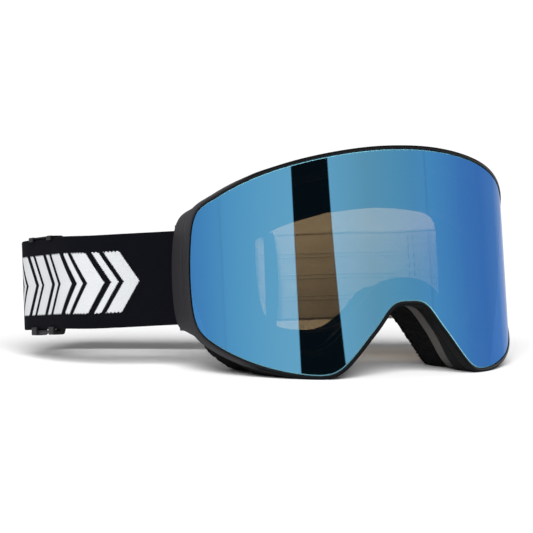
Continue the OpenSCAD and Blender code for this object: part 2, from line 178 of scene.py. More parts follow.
# ------------------------------------------------------------------ mesh helpers
def shade_smooth(mesh, angle):
    mesh.polygons.foreach_set("use_smooth", [True] * len(mesh.polygons))
    mesh.update()
    mesh.set_sharp_from_angle(angle=math.radians(angle))


def make(name, verts, faces, mats, index=None, smooth=True, angle=35, attrs=None):
    """Object from scene points; index gives each face's material, attrs each point's values."""
    mesh = bpy.data.meshes.new(name)
    mesh.from_pydata([tuple(v) for v in verts], [], [tuple(f) for f in faces])
    for mat in mats:
        mesh.materials.append(mat)
    if index is not None:
        mesh.polygons.foreach_set("material_index", np.asarray(index, np.int32))
    for key, values in (attrs or {}).items():
        attribute = mesh.attributes.new(key, "FLOAT", "POINT")
        attribute.data.foreach_set("value", np.asarray(values, np.float32))
    bm = bmesh.new()
    bm.from_mesh(mesh)
    bmesh.ops.recalc_face_normals(bm, faces=bm.faces)
    bm.to_mesh(mesh)
    bm.free()
    piece = bpy.data.objects.new(name, mesh)
    scene.collection.objects.link(piece)
    if smooth:
        shade_smooth(mesh, angle)
    return piece


def register(piece, body, replaces=None):
    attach(piece, body)
    if replaces:
        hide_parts(replaces)


def loft_faces(rows, cols, wrap_rows=True, wrap_cols=True):
    faces = []
    for j in range(rows if wrap_rows else rows - 1):
        for i in range(cols if wrap_cols else cols - 1):
            a, b = j * cols + i, j * cols + (i + 1) % cols
            below = ((j + 1) % rows) * cols
            faces.append((a, b, below + (i + 1) % cols, below + i))
    return faces


def tube_faces(rows, cols, start_cap=True, end_cap=True):
    """Faces of a swept closed section."""
    faces = loft_faces(rows, cols, wrap_rows=False)
    if start_cap:
        faces.append(tuple(range(cols)))
    if end_cap:
        faces.append(tuple((rows - 1) * cols + i for i in range(cols))[::-1])
    return faces


def prism(low, high):
    """Closed prism between two matching design outlines, in the scene frame."""
    n = len(low)
    faces = [tuple(range(n))[::-1], tuple(range(n, 2 * n))]
    faces += [(i, (i + 1) % n, n + (i + 1) % n, n + i) for i in range(n)]
    return to_scene(np.vstack([low, high])), faces


def ring_solid(name, rings, mats, bands=None, floor=-math.inf):
    """Solid ring whose closed profile runs through the rings. bands is the material after each
    ring; floor is the lowest height, or a list with one height per ring."""
    floors = floor if isinstance(floor, list) else [floor] * len(rings)
    points = [to_scene(ring) for ring in rings]
    for ring, height in zip(points, floors):
        ring[:, 2] = np.maximum(ring[:, 2], height * MM)
    index = None if bands is None else np.repeat(bands, len(rings[0]))
    return make(name, np.vstack(points), loft_faces(len(rings), len(rings[0])), mats, index)


def refined(rings, step):
    """Adds rings where neighbours of a closed profile are further than step apart. Also
    returns the number of the given ring each one follows."""
    out, tags = [], []
    for j, ring in enumerate(rings):
        after = rings[(j + 1) % len(rings)]
        gap = np.median(np.linalg.norm(ring - after, axis=1))
        count = max(1, int(math.ceil(gap / step)))
        for i in range(count):
            out.append(ring + (after - ring) * i / count)
            tags.append(j)
    return out, tags


def apply_modifiers(piece):
    bpy.context.view_layer.update()
    graph = bpy.context.evaluated_depsgraph_get()
    mesh = bpy.data.meshes.new_from_object(
        piece.evaluated_get(graph), preserve_all_data_layers=True, depsgraph=graph)
    piece.modifiers.clear()
    piece.data = mesh
    return piece


def gather(parts):
    """One vertex array and face list from several."""
    verts, faces, start = [], [], 0
    for part_verts, part_faces in parts:
        verts.append(np.asarray(part_verts, float))
        faces += [[start + i for i in face] for face in part_faces]
        start += len(part_verts)
    return np.vstack(verts), faces


def join(name, pieces, mat):
    """Joins pieces of one material into a single object."""
    verts, faces = gather([([tuple(v.co) for v in piece.data.vertices],
                            [tuple(p.vertices) for p in piece.data.polygons])
                           for piece in pieces])
    for piece in pieces:
        bpy.data.objects.remove(piece)
    return make(name, verts, faces, [mat], [0] * len(faces))


def rounded_box(low, high, radius):
    bm = bmesh.new()
    bmesh.ops.create_cube(bm, size=1.0)
    low, high = np.array(low, float), np.array(high, float)
    for v in bm.verts:
        v.co = Vector((low + high) / 2 + np.array(v.co) * (high - low))
    bmesh.ops.bevel(bm, geom=list(bm.edges), offset=radius, segments=3, profile=0.5,
                    affect="EDGES")
    verts = np.array([tuple(v.co) for v in bm.verts])
    faces = [[v.index for v in face.verts] for face in bm.faces]
    bm.free()
    return verts, faces


def round_bar(centre, across, up, axis, radius, low, high, bevel, ease_in, segments=40):
    """Round bar or disc along axis from low to high, its ends bevelled in two steps."""
    profile = [
        (radius - bevel, low), (radius - ease_in, low + ease_in), (radius, low + bevel),
        (radius, high - bevel), (radius - ease_in, high - ease_in), (radius - bevel, high)]
    centre, across, up, axis = (np.array(v, float) for v in (centre, across, up, axis))
    verts = [centre + axis * low]
    for r, height in profile:
        for k in range(segments):
            angle = 2 * math.pi * k / segments
            verts.append(centre + axis * height + across * r * math.cos(angle)
                         + up * r * math.sin(angle))
    verts.append(centre + axis * high)
    last = len(verts) - 1
    faces = [(0, 1 + k, 1 + (k + 1) % segments) for k in range(segments)]
    faces += [tuple(1 + i for i in face)
              for face in loft_faces(len(profile), segments, wrap_rows=False)]
    faces += [(last, last - segments + (k + 1) % segments, last - segments + k)
              for k in range(segments)]
    return to_scene(np.array(verts)), faces


# ------------------------------------------------------------------ shader helpers
class Nodes:
    """Short ways to add nodes to a tree."""

    def __init__(self, tree):
        self.tree = tree

    def node(self, kind, **settings):
        node = self.tree.nodes.new(kind)
        for key, value in settings.items():
            setattr(node, key, value)
        return node

    def put(self, value, socket):
        """Links an output to a socket, or sets the socket's value."""
        if isinstance(value, bpy.types.NodeSocket):
            self.tree.links.new(value, socket)
        elif isinstance(value, tuple) and len(value) == 3:
            socket.default_value = (*value, 1)
        else:
            socket.default_value = value

    def math(self, operation, a, b=None, clamp=False):
        node = self.node("ShaderNodeMath", operation=operation, use_clamp=clamp)
        self.put(a, node.inputs[0])
        if b is not None:
            self.put(b, node.inputs[1])
        return node.outputs[0]

    def add(self, a, b, clamp=False):
        return self.math("ADD", a, b, clamp)

    def sub(self, a, b, clamp=False):
        return self.math("SUBTRACT", a, b, clamp)

    def mul(self, a, b, clamp=False):
        return self.math("MULTIPLY", a, b, clamp)

    def div(self, a, b, clamp=False):
        return self.math("DIVIDE", a, b, clamp)

    def more(self, a, b):
        return self.math("GREATER_THAN", a, b)

    def less(self, a, b):
        return self.math("LESS_THAN", a, b)

    def wave(self, value, period):
        return self.math("SINE", self.mul(value, 2 * math.pi / period))

    def coord(self):
        return self.node("ShaderNodeTexCoord").outputs["Object"]

    def noise(self, scale, detail=3.0, rough=0.55, vector=None):
        node = self.node("ShaderNodeTexNoise")
        node.inputs["Scale"].default_value = scale
        node.inputs["Detail"].default_value = detail
        node.inputs["Roughness"].default_value = rough
        self.put(vector or self.coord(), node.inputs["Vector"])
        return node.outputs["Fac"]

    def cells(self, scale):
        node = self.node("ShaderNodeTexVoronoi", feature="F1")
        node.inputs["Scale"].default_value = scale
        self.put(self.coord(), node.inputs["Vector"])
        return node.outputs["Distance"]

    def mix(self, factor, a, b):
        node = self.node("ShaderNodeMix", data_type="RGBA")
        for value, socket in ((factor, 0), (a, 6), (b, 7)):
            self.put(value, node.inputs[socket])
        return node.outputs[2]

    def ramp(self, factor, stops):
        """Colour ramp through stops of (position, colour)."""
        node = self.node("ShaderNodeValToRGB")
        elements = node.color_ramp.elements
        while len(elements) < len(stops):
            elements.new(0.5)
        for element, (position, colour) in zip(elements, stops):
            element.position = position
            element.color = (*colour, 1)
        self.put(factor, node.inputs[0])
        return node.outputs[0]


class Mat(Nodes):
    """A material with its Principled shader."""

    def __init__(self, name):
        self.material = bpy.data.materials.new(name)
        self.material.use_nodes = True
        super().__init__(self.material.node_tree)
        self.shader = self.tree.nodes["Principled BSDF"]

    def attr(self, name):
        return self.node("ShaderNodeAttribute", attribute_name=name).outputs["Fac"]

    def set(self, **values):
        for key, value in values.items():
            self.put(value, self.shader.inputs[key.replace("_", " ")])

    def bump(self, height, strength, distance):
        node = self.node("ShaderNodeBump")
        node.inputs["Strength"].default_value = strength
        node.inputs["Distance"].default_value = distance
        self.put(height, node.inputs["Height"])
        self.set(Normal=node.outputs[0])


def scaled(colour, factor):
    return tuple(c * factor for c in colour)


# ------------------------------------------------------------------ materials
def moulded(mat, rough, grain):
    """Uneven gloss and fine spark-eroded grain of moulded plastic."""
    mat.set(Roughness=mat.add(mat.mul(mat.noise(scale=900), 0.12), rough - 0.06))
    height = mat.add(mat.noise(scale=5200), mat.mul(mat.cells(scale=3400), 0.5))
    mat.bump(height, strength=grain, distance=0.00006)


def plastic(name, dark, light, rough, specular, grain, wear=0.0):
    """Moulded plastic with a faint colour drift; wear lightens its edges."""
    mat = Mat(name)
    colour = mat.mix(mat.noise(scale=60, detail=4), dark, light)
    if wear:
        point = mat.node("ShaderNodeNewGeometry").outputs["Pointiness"]
        edge = mat.mul(mat.sub(point, 0.52, clamp=True), 9.0, clamp=True)
        edge = mat.mul(edge, mat.noise(scale=700, detail=4), clamp=True)
        worn = tuple(min(1, 3 * c + 0.02) for c in light)
        colour = mat.mix(mat.mul(edge, wear), colour, worn)
    mat.set(Base_Color=colour, Specular_IOR_Level=specular)
    moulded(mat, rough, grain)
    return mat.material


def wall_plastic():
    """Charcoal at the sides; near black and duller within 61.5 mm of the middle, which is painted
    shade.
    """
    mat = Mat("frame_charcoal")
    split = mat.node("ShaderNodeSeparateXYZ")
    mat.put(mat.coord(), split.inputs[0])
    # painted shade: the middle of the charcoal wall is darkened to near black, with less specular
    beyond = mat.sub(mat.math("ABSOLUTE", split.outputs[0]), 0.0615)
    middle = mat.sub(1.0, mat.div(beyond, 0.006, clamp=True))
    charcoal = mat.mix(mat.noise(scale=60, detail=4),
                       (0.0185, 0.0182, 0.0208), (0.0218, 0.0214, 0.0242))
    mat.set(Base_Color=mat.mix(middle, charcoal, (0.0040, 0.0043, 0.0050)),
            Specular_IOR_Level=mat.sub(0.12, mat.mul(middle, 0.08)))
    moulded(mat, rough=0.62, grain=0.3)
    return mat.material


def foam(name, dark, light, cell, depth, sheen=0.2, pores=0.0):
    """Cellular foam: cell is the texture scale, depth the bump and pores the dark holes."""
    mat = Mat(name)
    cells = mat.cells(scale=cell)
    fine = mat.noise(scale=cell * 1.7, detail=4, rough=0.7)
    broad = mat.noise(scale=90)
    shade = mat.mul(mat.add(mat.mul(cells, 0.9), mat.mul(fine, 0.5)), 1.0, clamp=True)
    colour = mat.mix(shade, dark, light)
    colour = mat.mix(mat.mul(broad, 0.35), colour, scaled(light, 1.6))
    if pores:
        hole = mat.less(mat.cells(scale=cell * 0.55), 0.22)
        colour = mat.mix(mat.mul(hole, pores), colour, scaled(dark, 0.3))
    mat.set(Base_Color=colour, Roughness=0.95, Specular_IOR_Level=0.12,
            Sheen_Weight=sheen, Sheen_Roughness=0.6)
    mat.bump(mat.add(mat.mul(cells, 1.2), fine), strength=0.8, distance=depth)
    return mat.material


def metal(name, colour, rough):
    """Metal with fine upright streaks."""
    mat = Mat(name)
    mapping = mat.node("ShaderNodeMapping")
    mat.put(mat.coord(), mapping.inputs["Vector"])
    mapping.inputs["Scale"].default_value = (1, 1, 0.05)
    streak = mat.noise(scale=2600, rough=0.6, vector=mapping.outputs[0])
    mat.set(Base_Color=mat.mix(streak, scaled(colour, 0.8), colour),
            Roughness=mat.add(mat.mul(streak, 0.2), rough), Metallic=1.0)
    mat.bump(streak, strength=0.15, distance=0.00003)
    return mat.material


def fleece_cloth():
    mat = Mat("fleece_black")
    tuft = mat.noise(scale=1100, detail=6, rough=0.75)
    hair = mat.noise(scale=5200, rough=0.6)
    mat.set(Base_Color=mat.mix(tuft, (0.0010, 0.0010, 0.0012), (0.0060, 0.0060, 0.0066)),
            Roughness=1.0, Specular_IOR_Level=0.04, Sheen_Weight=0.12, Sheen_Roughness=0.45,
            Sheen_Tint=(0.5, 0.5, 0.55))
    mat.bump(mat.add(mat.mul(tuft, 1.4), mat.mul(hair, 0.7)), strength=1.0, distance=0.0005)
    return mat.material


def glaze(mat, gloss, roughness, tint):
    """Surface that adds a reflection to what is seen through it."""
    glossy = mat.node("ShaderNodeBsdfGlossy")
    mat.put(gloss, glossy.inputs["Color"])
    mat.put(roughness, glossy.inputs["Roughness"])
    through = mat.node("ShaderNodeBsdfTransparent")
    mat.put(tint, through.inputs["Color"])
    both = mat.node("ShaderNodeAddShader")
    mat.put(glossy.outputs[0], both.inputs[0])
    mat.put(through.outputs[0], both.inputs[1])
    mat.put(both.outputs[0], mat.tree.nodes["Material Output"].inputs["Surface"])
    mat.tree.nodes.remove(mat.shader)
    return mat.material


def lens_coat():
    """Blue mirror coat over a brown tint. Its colour shifts with the angle it is seen at."""
    mat = Mat("mirror_coat")
    geometry = mat.node("ShaderNodeNewGeometry")
    dot = mat.node("ShaderNodeVectorMath", operation="DOT_PRODUCT")
    mat.put(geometry.outputs["Normal"], dot.inputs[0])
    mat.put(geometry.outputs["Incoming"], dot.inputs[1])
    facing = mat.math("ABSOLUTE", dot.outputs["Value"])
    # a slight drift of the coat's thickness
    drift = mat.noise(scale=9, detail=2, rough=0.4)
    facing = mat.add(facing, mat.mul(mat.sub(drift, 0.5), 0.07))
    # from edge-on to facing
    colour = mat.ramp(facing, [
        (0.0, (0.50, 0.52, 0.68)), (0.12, (0.21, 0.32, 0.575)), (0.27, (0.060, 0.180, 0.468)),
        (0.45, (0.038, 0.150, 0.440)), (0.60, (0.042, 0.168, 0.452)),
        (0.77, (0.055, 0.232, 0.492)), (0.91, (0.082, 0.300, 0.515)),
        (1.0, (0.112, 0.335, 0.518))])
    roughness = mat.add(mat.mul(mat.noise(scale=40, detail=4), 0.012), 0.012)
    return glaze(mat, colour, roughness, tint=(0.171, 0.120, 0.064))


def clear_sheet(name, tint, gloss, rough):
    mat = Mat(name)
    return glaze(mat, gloss, mat.add(mat.mul(mat.noise(scale=50), 0.02), rough), tint)


def bevel_glow():
    """Polished bevel of the lens, which gathers light."""
    mat = Mat("lens_bevel")
    mat.set(Base_Color=mat.mix(mat.noise(scale=24), (0.20, 0.58, 0.72), (0.34, 0.72, 0.84)),
            Roughness=0.25, Specular_IOR_Level=0.8)
    mat.bump(mat.noise(scale=2500, detail=2), strength=0.1, distance=0.00003)
    return mat.material


def webbing(name, pattern=None):
    """Woven elastic, black outside and light inside. "sa" runs along it and "za" across it, in
    mm; "fa" is 1 outside and -1 inside. pattern is where the outer chevrons start and end."""
    mat = Mat(name)
    along, across, side = mat.attr("sa"), mat.attr("za"), mat.attr("fa")
    # weft and warp
    rib = mat.wave(along, period=0.78)
    column = mat.math("FLOOR", mat.div(across, 0.62))
    odd = mat.mul(mat.math("MODULO", mat.math("ABSOLUTE", column), 2.0), 3.14159)
    pick = mat.math("SINE", mat.add(mat.mul(along, 2 * math.pi / 1.24), odd))
    warp = mat.wave(across, period=0.62)
    vector = mat.node("ShaderNodeCombineXYZ")
    mat.put(along, vector.inputs[0])
    mat.put(across, vector.inputs[1])
    mat.put(mat.mul(side, 3.0), vector.inputs[2])
    place = vector.outputs[0]
    fuzz = mat.noise(scale=2.2, detail=4, rough=0.7, vector=place)
    spots = mat.noise(scale=0.16, rough=0.6, vector=place)
    knit = mat.mul(mat.add(pick, 1.0), mat.add(mat.mul(warp, 0.35), 0.65))
    height = mat.add(mat.mul(knit, 0.5), mat.add(mat.mul(rib, 0.12), mat.mul(fuzz, 0.5)))
    shade = mat.add(mat.mul(knit, 0.16), mat.add(mat.mul(fuzz, 0.34), 0.5))
    black = mat.mix(shade, (0.0012, 0.0014, 0.0024), (0.0040, 0.0043, 0.0063))
    black = mat.mix(mat.mul(spots, 0.3), black, (0.0048, 0.0051, 0.0072))
    colour = black
    if pattern:
        # stepped chevrons, a wide one and a narrow one in every 17 mm
        stepped = mat.mul(mat.math("ROUND", mat.div(mat.add(across, 0.5), 0.82)), 0.82)
        drift = mat.noise(scale=1.4, detail=2, rough=0.5, vector=place)
        wobble = mat.mul(mat.sub(drift, 0.5), 0.34)
        wavy = mat.add(along, wobble)
        slope = mat.mul(mat.math("ABSOLUTE", stepped), 0.62)
        chevron = mat.sub(wavy, slope)
        phase = mat.math("FRACT", mat.div(chevron, 17.0))
        wide = mat.mul(mat.more(phase, 0.05), mat.less(phase, 0.53))
        narrow = mat.mul(mat.more(phase, 0.67), mat.less(phase, 0.86))
        ink = mat.add(wide, narrow, clamp=True)
        # jagged upper and lower limits
        jag = mat.mul(mat.more(mat.math("FRACT", mat.div(along, 1.64)), 0.5), 0.42)
        below = mat.less(mat.add(across, jag), 13.5)
        above = mat.more(mat.sub(across, jag), -14.5)
        ends = mat.mul(mat.more(chevron, pattern[0]), mat.less(chevron, pattern[1]))
        ink = mat.mul(ink, mat.mul(mat.mul(below, above), ends))
        ink = mat.mul(ink, mat.more(side, 0.3))
        white = mat.mix(shade, (0.32, 0.33, 0.345), (0.62, 0.632, 0.645))
        white = mat.mix(mat.mul(spots, 0.4), white, (0.48, 0.49, 0.51))
        colour = mat.mix(ink, black, white)
        height = mat.add(height, mat.mul(ink, 0.6))
    inside = mat.mix(shade, (0.70, 0.69, 0.69), (0.90, 0.885, 0.88))
    # black threads along both edges of the inside
    from_middle = mat.math("ABSOLUTE", across)
    dash = mat.more(mat.math("FRACT", mat.div(along, 1.9)), 0.28)
    line = mat.mul(mat.mul(mat.more(from_middle, 20.2), mat.less(from_middle, 20.75)), dash)
    edge = mat.more(from_middle, 21.0)
    # faint lengthwise ribs of the inside
    ribs = mat.mul(mat.add(mat.wave(across, period=3.3), 1.0), 0.06)
    inside = mat.mix(ribs, inside, (0.4, 0.4, 0.41))
    inside = mat.mix(mat.mul(line, 0.92), inside, (0.012, 0.012, 0.014))
    inside = mat.mix(mat.mul(edge, 0.8), inside, (0.2, 0.2, 0.205))
    mat.set(Base_Color=mat.mix(mat.less(side, -0.3), colour, inside),
            Roughness=0.95, Specular_IOR_Level=0.06)
    mat.bump(height, strength=0.7, distance=0.0002)
    return mat.material


def thread(name, colour):
    """Twisted sewing thread."""
    mat = Mat(name)
    twist = mat.node("ShaderNodeTexWave", wave_type="BANDS", bands_direction="DIAGONAL")
    twist.inputs["Scale"].default_value = 900
    twist.inputs["Distortion"].default_value = 1.5
    mat.put(mat.coord(), twist.inputs["Vector"])
    mat.set(Base_Color=mat.mix(twist.outputs["Fac"], scaled(colour, 0.6), colour),
            Roughness=0.6, Specular_IOR_Level=0.3)
    mat.bump(twist.outputs["Fac"], strength=0.6, distance=0.00008)
    return mat.material


def silicone():
    mat = Mat("silicone_lines")
    mat.set(Base_Color=mat.mix(mat.noise(scale=500), (0.55, 0.58, 0.60), (0.74, 0.76, 0.77)),
            Roughness=0.28, Specular_IOR_Level=0.5)
    mat.bump(mat.noise(scale=1500), strength=0.25, distance=0.00008)
    return mat.material


m_wall = wall_plastic()
m_black = plastic("rim_black", (0.0022, 0.0024, 0.0034), (0.0032, 0.0034, 0.0045),
                  rough=0.34, specular=0.16, grain=0.15, wear=0.1)
m_inner = plastic("frame_inside", (0.004, 0.004, 0.0045), (0.006, 0.006, 0.0068),
                  rough=0.6, specular=0.12, grain=0.35)
m_flange = plastic("flange_black", (0.0035, 0.0036, 0.004), (0.0055, 0.0055, 0.006),
                   rough=0.55, specular=0.18, grain=0.5)
m_adjuster = plastic("adjuster_black", (0.0026, 0.0026, 0.0031), (0.0042, 0.0042, 0.0048),
                     rough=0.45, specular=0.15, grain=0.2, wear=0.15)
m_spacer = foam("spacer_foam", (0.004, 0.004, 0.0045), (0.011, 0.011, 0.012),
                cell=2600, depth=0.00008)
m_vent = foam("vent_foam", (0.004, 0.004, 0.0042), (0.02, 0.02, 0.021),
              cell=900, depth=0.0003, pores=0.9)
m_firm = foam("foam_firm", (0.030, 0.026, 0.0225), (0.056, 0.048, 0.041),
              cell=2100, depth=0.0001, sheen=0.15, pores=0.5)
m_soft = foam("foam_soft", (0.0007, 0.0007, 0.0008), (0.0030, 0.0030, 0.0033),
              cell=1500, depth=0.00022, sheen=0.0, pores=0.6)
m_steel = metal("bar_steel", (0.56, 0.56, 0.58), rough=0.22)
m_nickel = metal("magnet_nickel", (0.7, 0.69, 0.66), rough=0.12)
m_fleece = fleece_cloth()
m_coat = lens_coat()
m_bevel = bevel_glow()
m_lens_back = clear_sheet("lens_back", tint=(1.0, 1.0, 1.0), gloss=(0.004, 0.005, 0.006),
                          rough=0.03)
m_clear = clear_sheet("inner_lens_clear", tint=(0.97, 0.965, 0.95),
                      gloss=(0.006, 0.007, 0.007), rough=0.06)
m_thread = thread("thread_black", (0.014, 0.014, 0.016))
m_silicone = silicone()


# ------------------------------------------------------------------ lens cartridge
def rolled(line, radius):
    """Flat outline rolled onto a cylinder on the lens axis."""
    angle = line[:, 0] / RADIUS
    return np.c_[radius * np.sin(angle), RADIUS - radius * np.cos(angle), line[:, 1]]


def lens_sheet(name, edge, front, back, mats, bevel, place):
    """Curved sheet inside an outline, between two radii, with a bevelled front edge. Each half
    is woven between the outer part of its outline and the mid line followed by the nose, so
    that no row of faces crosses the nose arch. place puts the outline on a radius."""
    lobe, nose, columns = COUNTS[0] + COUNTS[1], sum(COUNTS), 53
    down = lobe - COUNTS[2]
    t = np.linspace(0, 1, columns)[None, :, None]
    inset = grown(edge, -bevel)
    parts, index = [], []
    for material, (line, radius) in enumerate(((inset, front), (edge, back))):
        outer_rail = line[:lobe + 1]
        middle = np.c_[np.zeros(down + 1), np.linspace(line[0, 1], line[nose, 1], down + 1)]
        inner_rail = np.vstack([middle, line[lobe:nose][::-1]])
        grid = outer_rail[:, None] * (1 - t) + inner_rail[:, None] * t
        for side in (1, -1):
            faces = loft_faces(lobe + 1, columns, wrap_rows=False, wrap_cols=False)
            parts.append((place(grid.reshape(-1, 2) * [side, 1], radius), faces))
            index += [material] * len(faces)
    inset = inset.copy()
    inset[0, 0] = inset[nose, 0] = 0.0
    faces = loft_faces(3, len(edge), wrap_rows=False)
    parts.append((np.vstack([place(inset, front), place(edge, front - bevel),
                             place(edge, back)]), faces))
    index += [2] * len(faces)
    verts, faces = gather(parts)
    piece = make(name, to_scene(verts), faces, mats, index)
    bm = bmesh.new()
    bm.from_mesh(piece.data)
    bmesh.ops.remove_doubles(bm, verts=bm.verts, dist=4e-6)
    bmesh.ops.dissolve_degenerate(bm, edges=bm.edges, dist=1e-7)
    bmesh.ops.recalc_face_normals(bm, faces=bm.faces)
    bm.to_mesh(piece.data)
    bm.free()
    shade_smooth(piece.data, 25)
    cylinder_normals(piece.data)
    return piece


def cylinder_normals(mesh):
    """Exact cylinder normals on both faces of a lens, so that reflections have no ripple."""
    points = to_design(np.array([v.co for v in mesh.vertices]))
    normals = np.c_[points[:, 0], points[:, 1] - RADIUS, np.zeros(len(points))]
    normals /= np.linalg.norm(normals, axis=1)[:, None]
    normals = to_scene(normals) * 1000
    loops = []
    for face in mesh.polygons:
        if face.material_index < 2:
            sign = 1 if face.normal.dot(Vector(normals[face.vertices[0]])) > 0 else -1
            loops += [tuple(sign * normals[i]) for i in face.vertices]
        else:
            loops += [tuple(face.normal)] * len(face.vertices)
    mesh.normals_split_custom_set(loops)


outer_lens = lens_sheet("lens_outer", grown(LENS, -0.06), RADIUS, RADIUS - 1.2,
                        [m_coat, m_lens_back, m_bevel], bevel=0.42, place=rolled)
register(outer_lens, "lens", "outer_lens")
inner_lens = lens_sheet("lens_inner", SEAT, SHELF_RADIUS + 0.86, SHELF_RADIUS + 0.06,
                        [m_clear, m_clear, m_clear], bevel=0.15, place=on_radius)
register(inner_lens, "lens", "inner_lens")

# spacer between the lenses: (offset from the seat outline, radius)
SPACER = [(-0.1, 83.9), (-0.1, 81.1), (-0.6, 81.06), (-2.8, 81.06), (-3.2, 81.3),
          (-3.3, 82.5), (-3.2, 83.7), (-2.8, 83.96), (-0.4, 83.96)]
spacer = ring_solid("lens_spacer", [seat_at(*ring) for ring in SPACER], [m_spacer])
register(spacer, "lens", "lens_spacer_gasket")

# rim: a thin black bead round the lens, with a charcoal side
# bead: (offset from the lens outline, height above the lens front)
RIM_BEAD = [(0.03, -1.27), (0.03, -0.2), (0.05, 0.12), (0.16, 0.30), (0.4, 0.38),
            (0.9, 0.39), (1.3, 0.33), (1.5, 0.16), (1.6, -0.12)]
# side: (offset from the lens outline, depth behind the lens front)
RIM_SIDE = [(1.6, 0.7), (1.6, 1.1), (1.6, 3.4), (1.6, 5.62), (1.52, 5.76), (1.35, 5.8)]
# shelf: (offset from the seat outline, height above the shelf)
RIM_SHELF = [(1.5, -1.6), (1.3, -1.8), (-4.3, -1.8), (-4.5, -1.6), (-4.5, -0.2), (-4.3, 0),
             (0.3, 0)]
rings = [on_radius(wrapped(grown(LENS, offset)), RADIUS + rise) for offset, rise in RIM_BEAD]
rings += [behind_lens(wrapped(grown(LENS, offset)), depth) for offset, depth in RIM_SIDE]
rings.append(behind_lens(grown(SEAT, 1.7), 5.8))
rings += [seat_at(offset, SHELF_RADIUS + rise) for offset, rise in RIM_SHELF]
rings.append(seat_at(0.3, RADIUS - 1.3))
rim = ring_solid("lens_rim_moulding", rings, [m_black, m_wall],
                 [1 if 5 <= k < 14 else 0 for k in range(len(rings))], TABLE + 0.06)
register(rim, "lens", "lens_rim")


def magnet_places():
    line = grown(closed(smooth_half(SEAT_EDGE, 3)), -1.7)
    return [line[i] for k in (5, 12, 26, 31) for i in (k, len(line) - k)]


def magnet(place, inner_radius, outer_radius):
    """Disc 4 mm wide that lies across the lens radius at (x, z)."""
    x, z = place
    turn = math.asin(x / outer_radius)
    return round_bar(
        (0, RADIUS, z), across=(math.cos(turn), math.sin(turn), 0), up=(0, 0, 1),
        axis=(math.sin(turn), -math.cos(turn), 0), radius=2.0,
        low=inner_radius, high=outer_radius, bevel=0.22, ease_in=0.06)


for body, low, high in (("lens", SHELF_RADIUS - 1.84, SHELF_RADIUS - 0.55),
                        ("frame", LEDGE_RADIUS - 1.28, LEDGE_RADIUS + 0.03)):
    verts, faces = gather([magnet(place, low, high) for place in magnet_places()])
    magnets = make("magnets_of_" + body, verts, faces, [m_nickel])
    register(magnets, body, body + "_magnets")


# ------------------------------------------------------------------ frame
def cornered(line):
    """Outline with its corners cut along slanting lines, most at the bottom."""
    x = np.abs(line[:, 0])
    top = 28.7 + 0.66 * (76.5 - x)
    bottom = -25.1 - 1.08 * (77.8 - x)
    return np.c_[line[:, 0], np.maximum(bottom, np.minimum(line[:, 1], top))]


def body_outline():
    """Outline of the body behind the rim, kept within the rim."""
    line = relaxed(cornered(RIM), 12)
    line[:, 1] = np.clip(line[:, 1], RIM[:, 1].min(), RIM[:, 1].max())
    line[:, 0] = np.clip(line[:, 0], RIM[:, 0].min() + 0.02, RIM[:, 0].max() - 0.02)
    return line


def nose_weights():
    """How far each outline point takes part in the shallower body beside the nose."""
    x, z = np.abs(RIM[:, 0]), RIM[:, 1]
    rising = 0.38 + 0.62 * ease(np.clip((np.minimum(z, -28.0) + 48.5) / 20.5, 0, 1))
    fading = 0.38 * np.clip((56 - x) / 16, 0, 1)
    weights = np.where(z < -10, np.where(x < 40, rising, fading), 0.0)
    for _ in range(12):
        weights = (np.roll(weights, 1) + 2 * weights + np.roll(weights, -1)) / 4
    return weights


BODY = body_outline()
NOSE = nose_weights()
DEPTHS = [0, 6.2, 18.4, 27.2, 44.8, 60]
NOSE_DEPTHS = [0, 6.2, 8.2, 19.4, 41.5, 56.7]  # where the same layers lie beside the nose


def in_body(line, depth):
    """Outline laid behind the lens surface, brought forward beside the nose."""
    return behind_lens(line, depth + (np.interp(depth, DEPTHS, NOSE_DEPTHS) - depth) * NOSE)


def body(offset, depth):
    return in_body(grown(BODY, offset), depth)


def seat(offset, depth):
    return in_body(grown(SEAT, offset), depth)


def shell_solid():
    profile = [
        body(0, 6.05), body(0, 18.0), body(-0.12, 18.28), body(-0.4, 18.4),
        body(-1.8, 18.4), body(-2.08, 18.28), body(-2.2, 18.0), body(-2.2, 8.9),
        body(-2.6, 8.2), seat(4.2, 8.2), seat(3.6, 8.9), seat(3.6, 15.9),
        seat(3.3, 16.3), seat(2.1, 16.3), seat(1.8, 16.0), seat_at(1.8, LEDGE_RADIUS - 2.2),
        seat_at(-4.2, LEDGE_RADIUS - 2.2), seat_at(-4.5, LEDGE_RADIUS - 1.9),
        seat_at(-4.5, LEDGE_RADIUS - 0.3), seat_at(-4.2, LEDGE_RADIUS),
        seat_at(1.8, LEDGE_RADIUS), seat(1.85, 5.9), body(-0.25, 5.86), body(-0.06, 5.92)]
    rings, tags = refined(profile, 3.2)
    # the outside rests on the table, the inside of the wall lies a wall's thickness above it
    floors = [RESTING if tag < 4 or tag >= 21 else TABLE + (1.9 if tag < 8 else 2.0)
              for tag in tags]
    bands = [0 if tag in (0, 1, 2, 22, 23) else 1 for tag in tags]
    return ring_solid("frame_shell", rings, [m_wall, m_inner], bands, floors)


def slot_block(x, half_width, low, high):
    """Upright block with rounded corners that cuts a slot through the wall."""
    radius, front, rear = 1.4, 9.2, 15.0
    right, left = x - half_width + radius, x + half_width - radius
    points = []
    for corner_x, depth, start in ((left, front + radius, -90), (left, rear - radius, 0),
                                   (right, rear - radius, 90), (right, front + radius, 180)):
        for k in range(7):
            angle = math.radians(start + 90 * k / 6)
            points.append((corner_x + radius * math.cos(angle),
                           depth + radius * math.sin(angle)))
    xs, depths = np.array(points).T
    return prism(*(behind_lens(np.c_[xs, np.full(len(xs), z)], depths) for z in (low, high)))


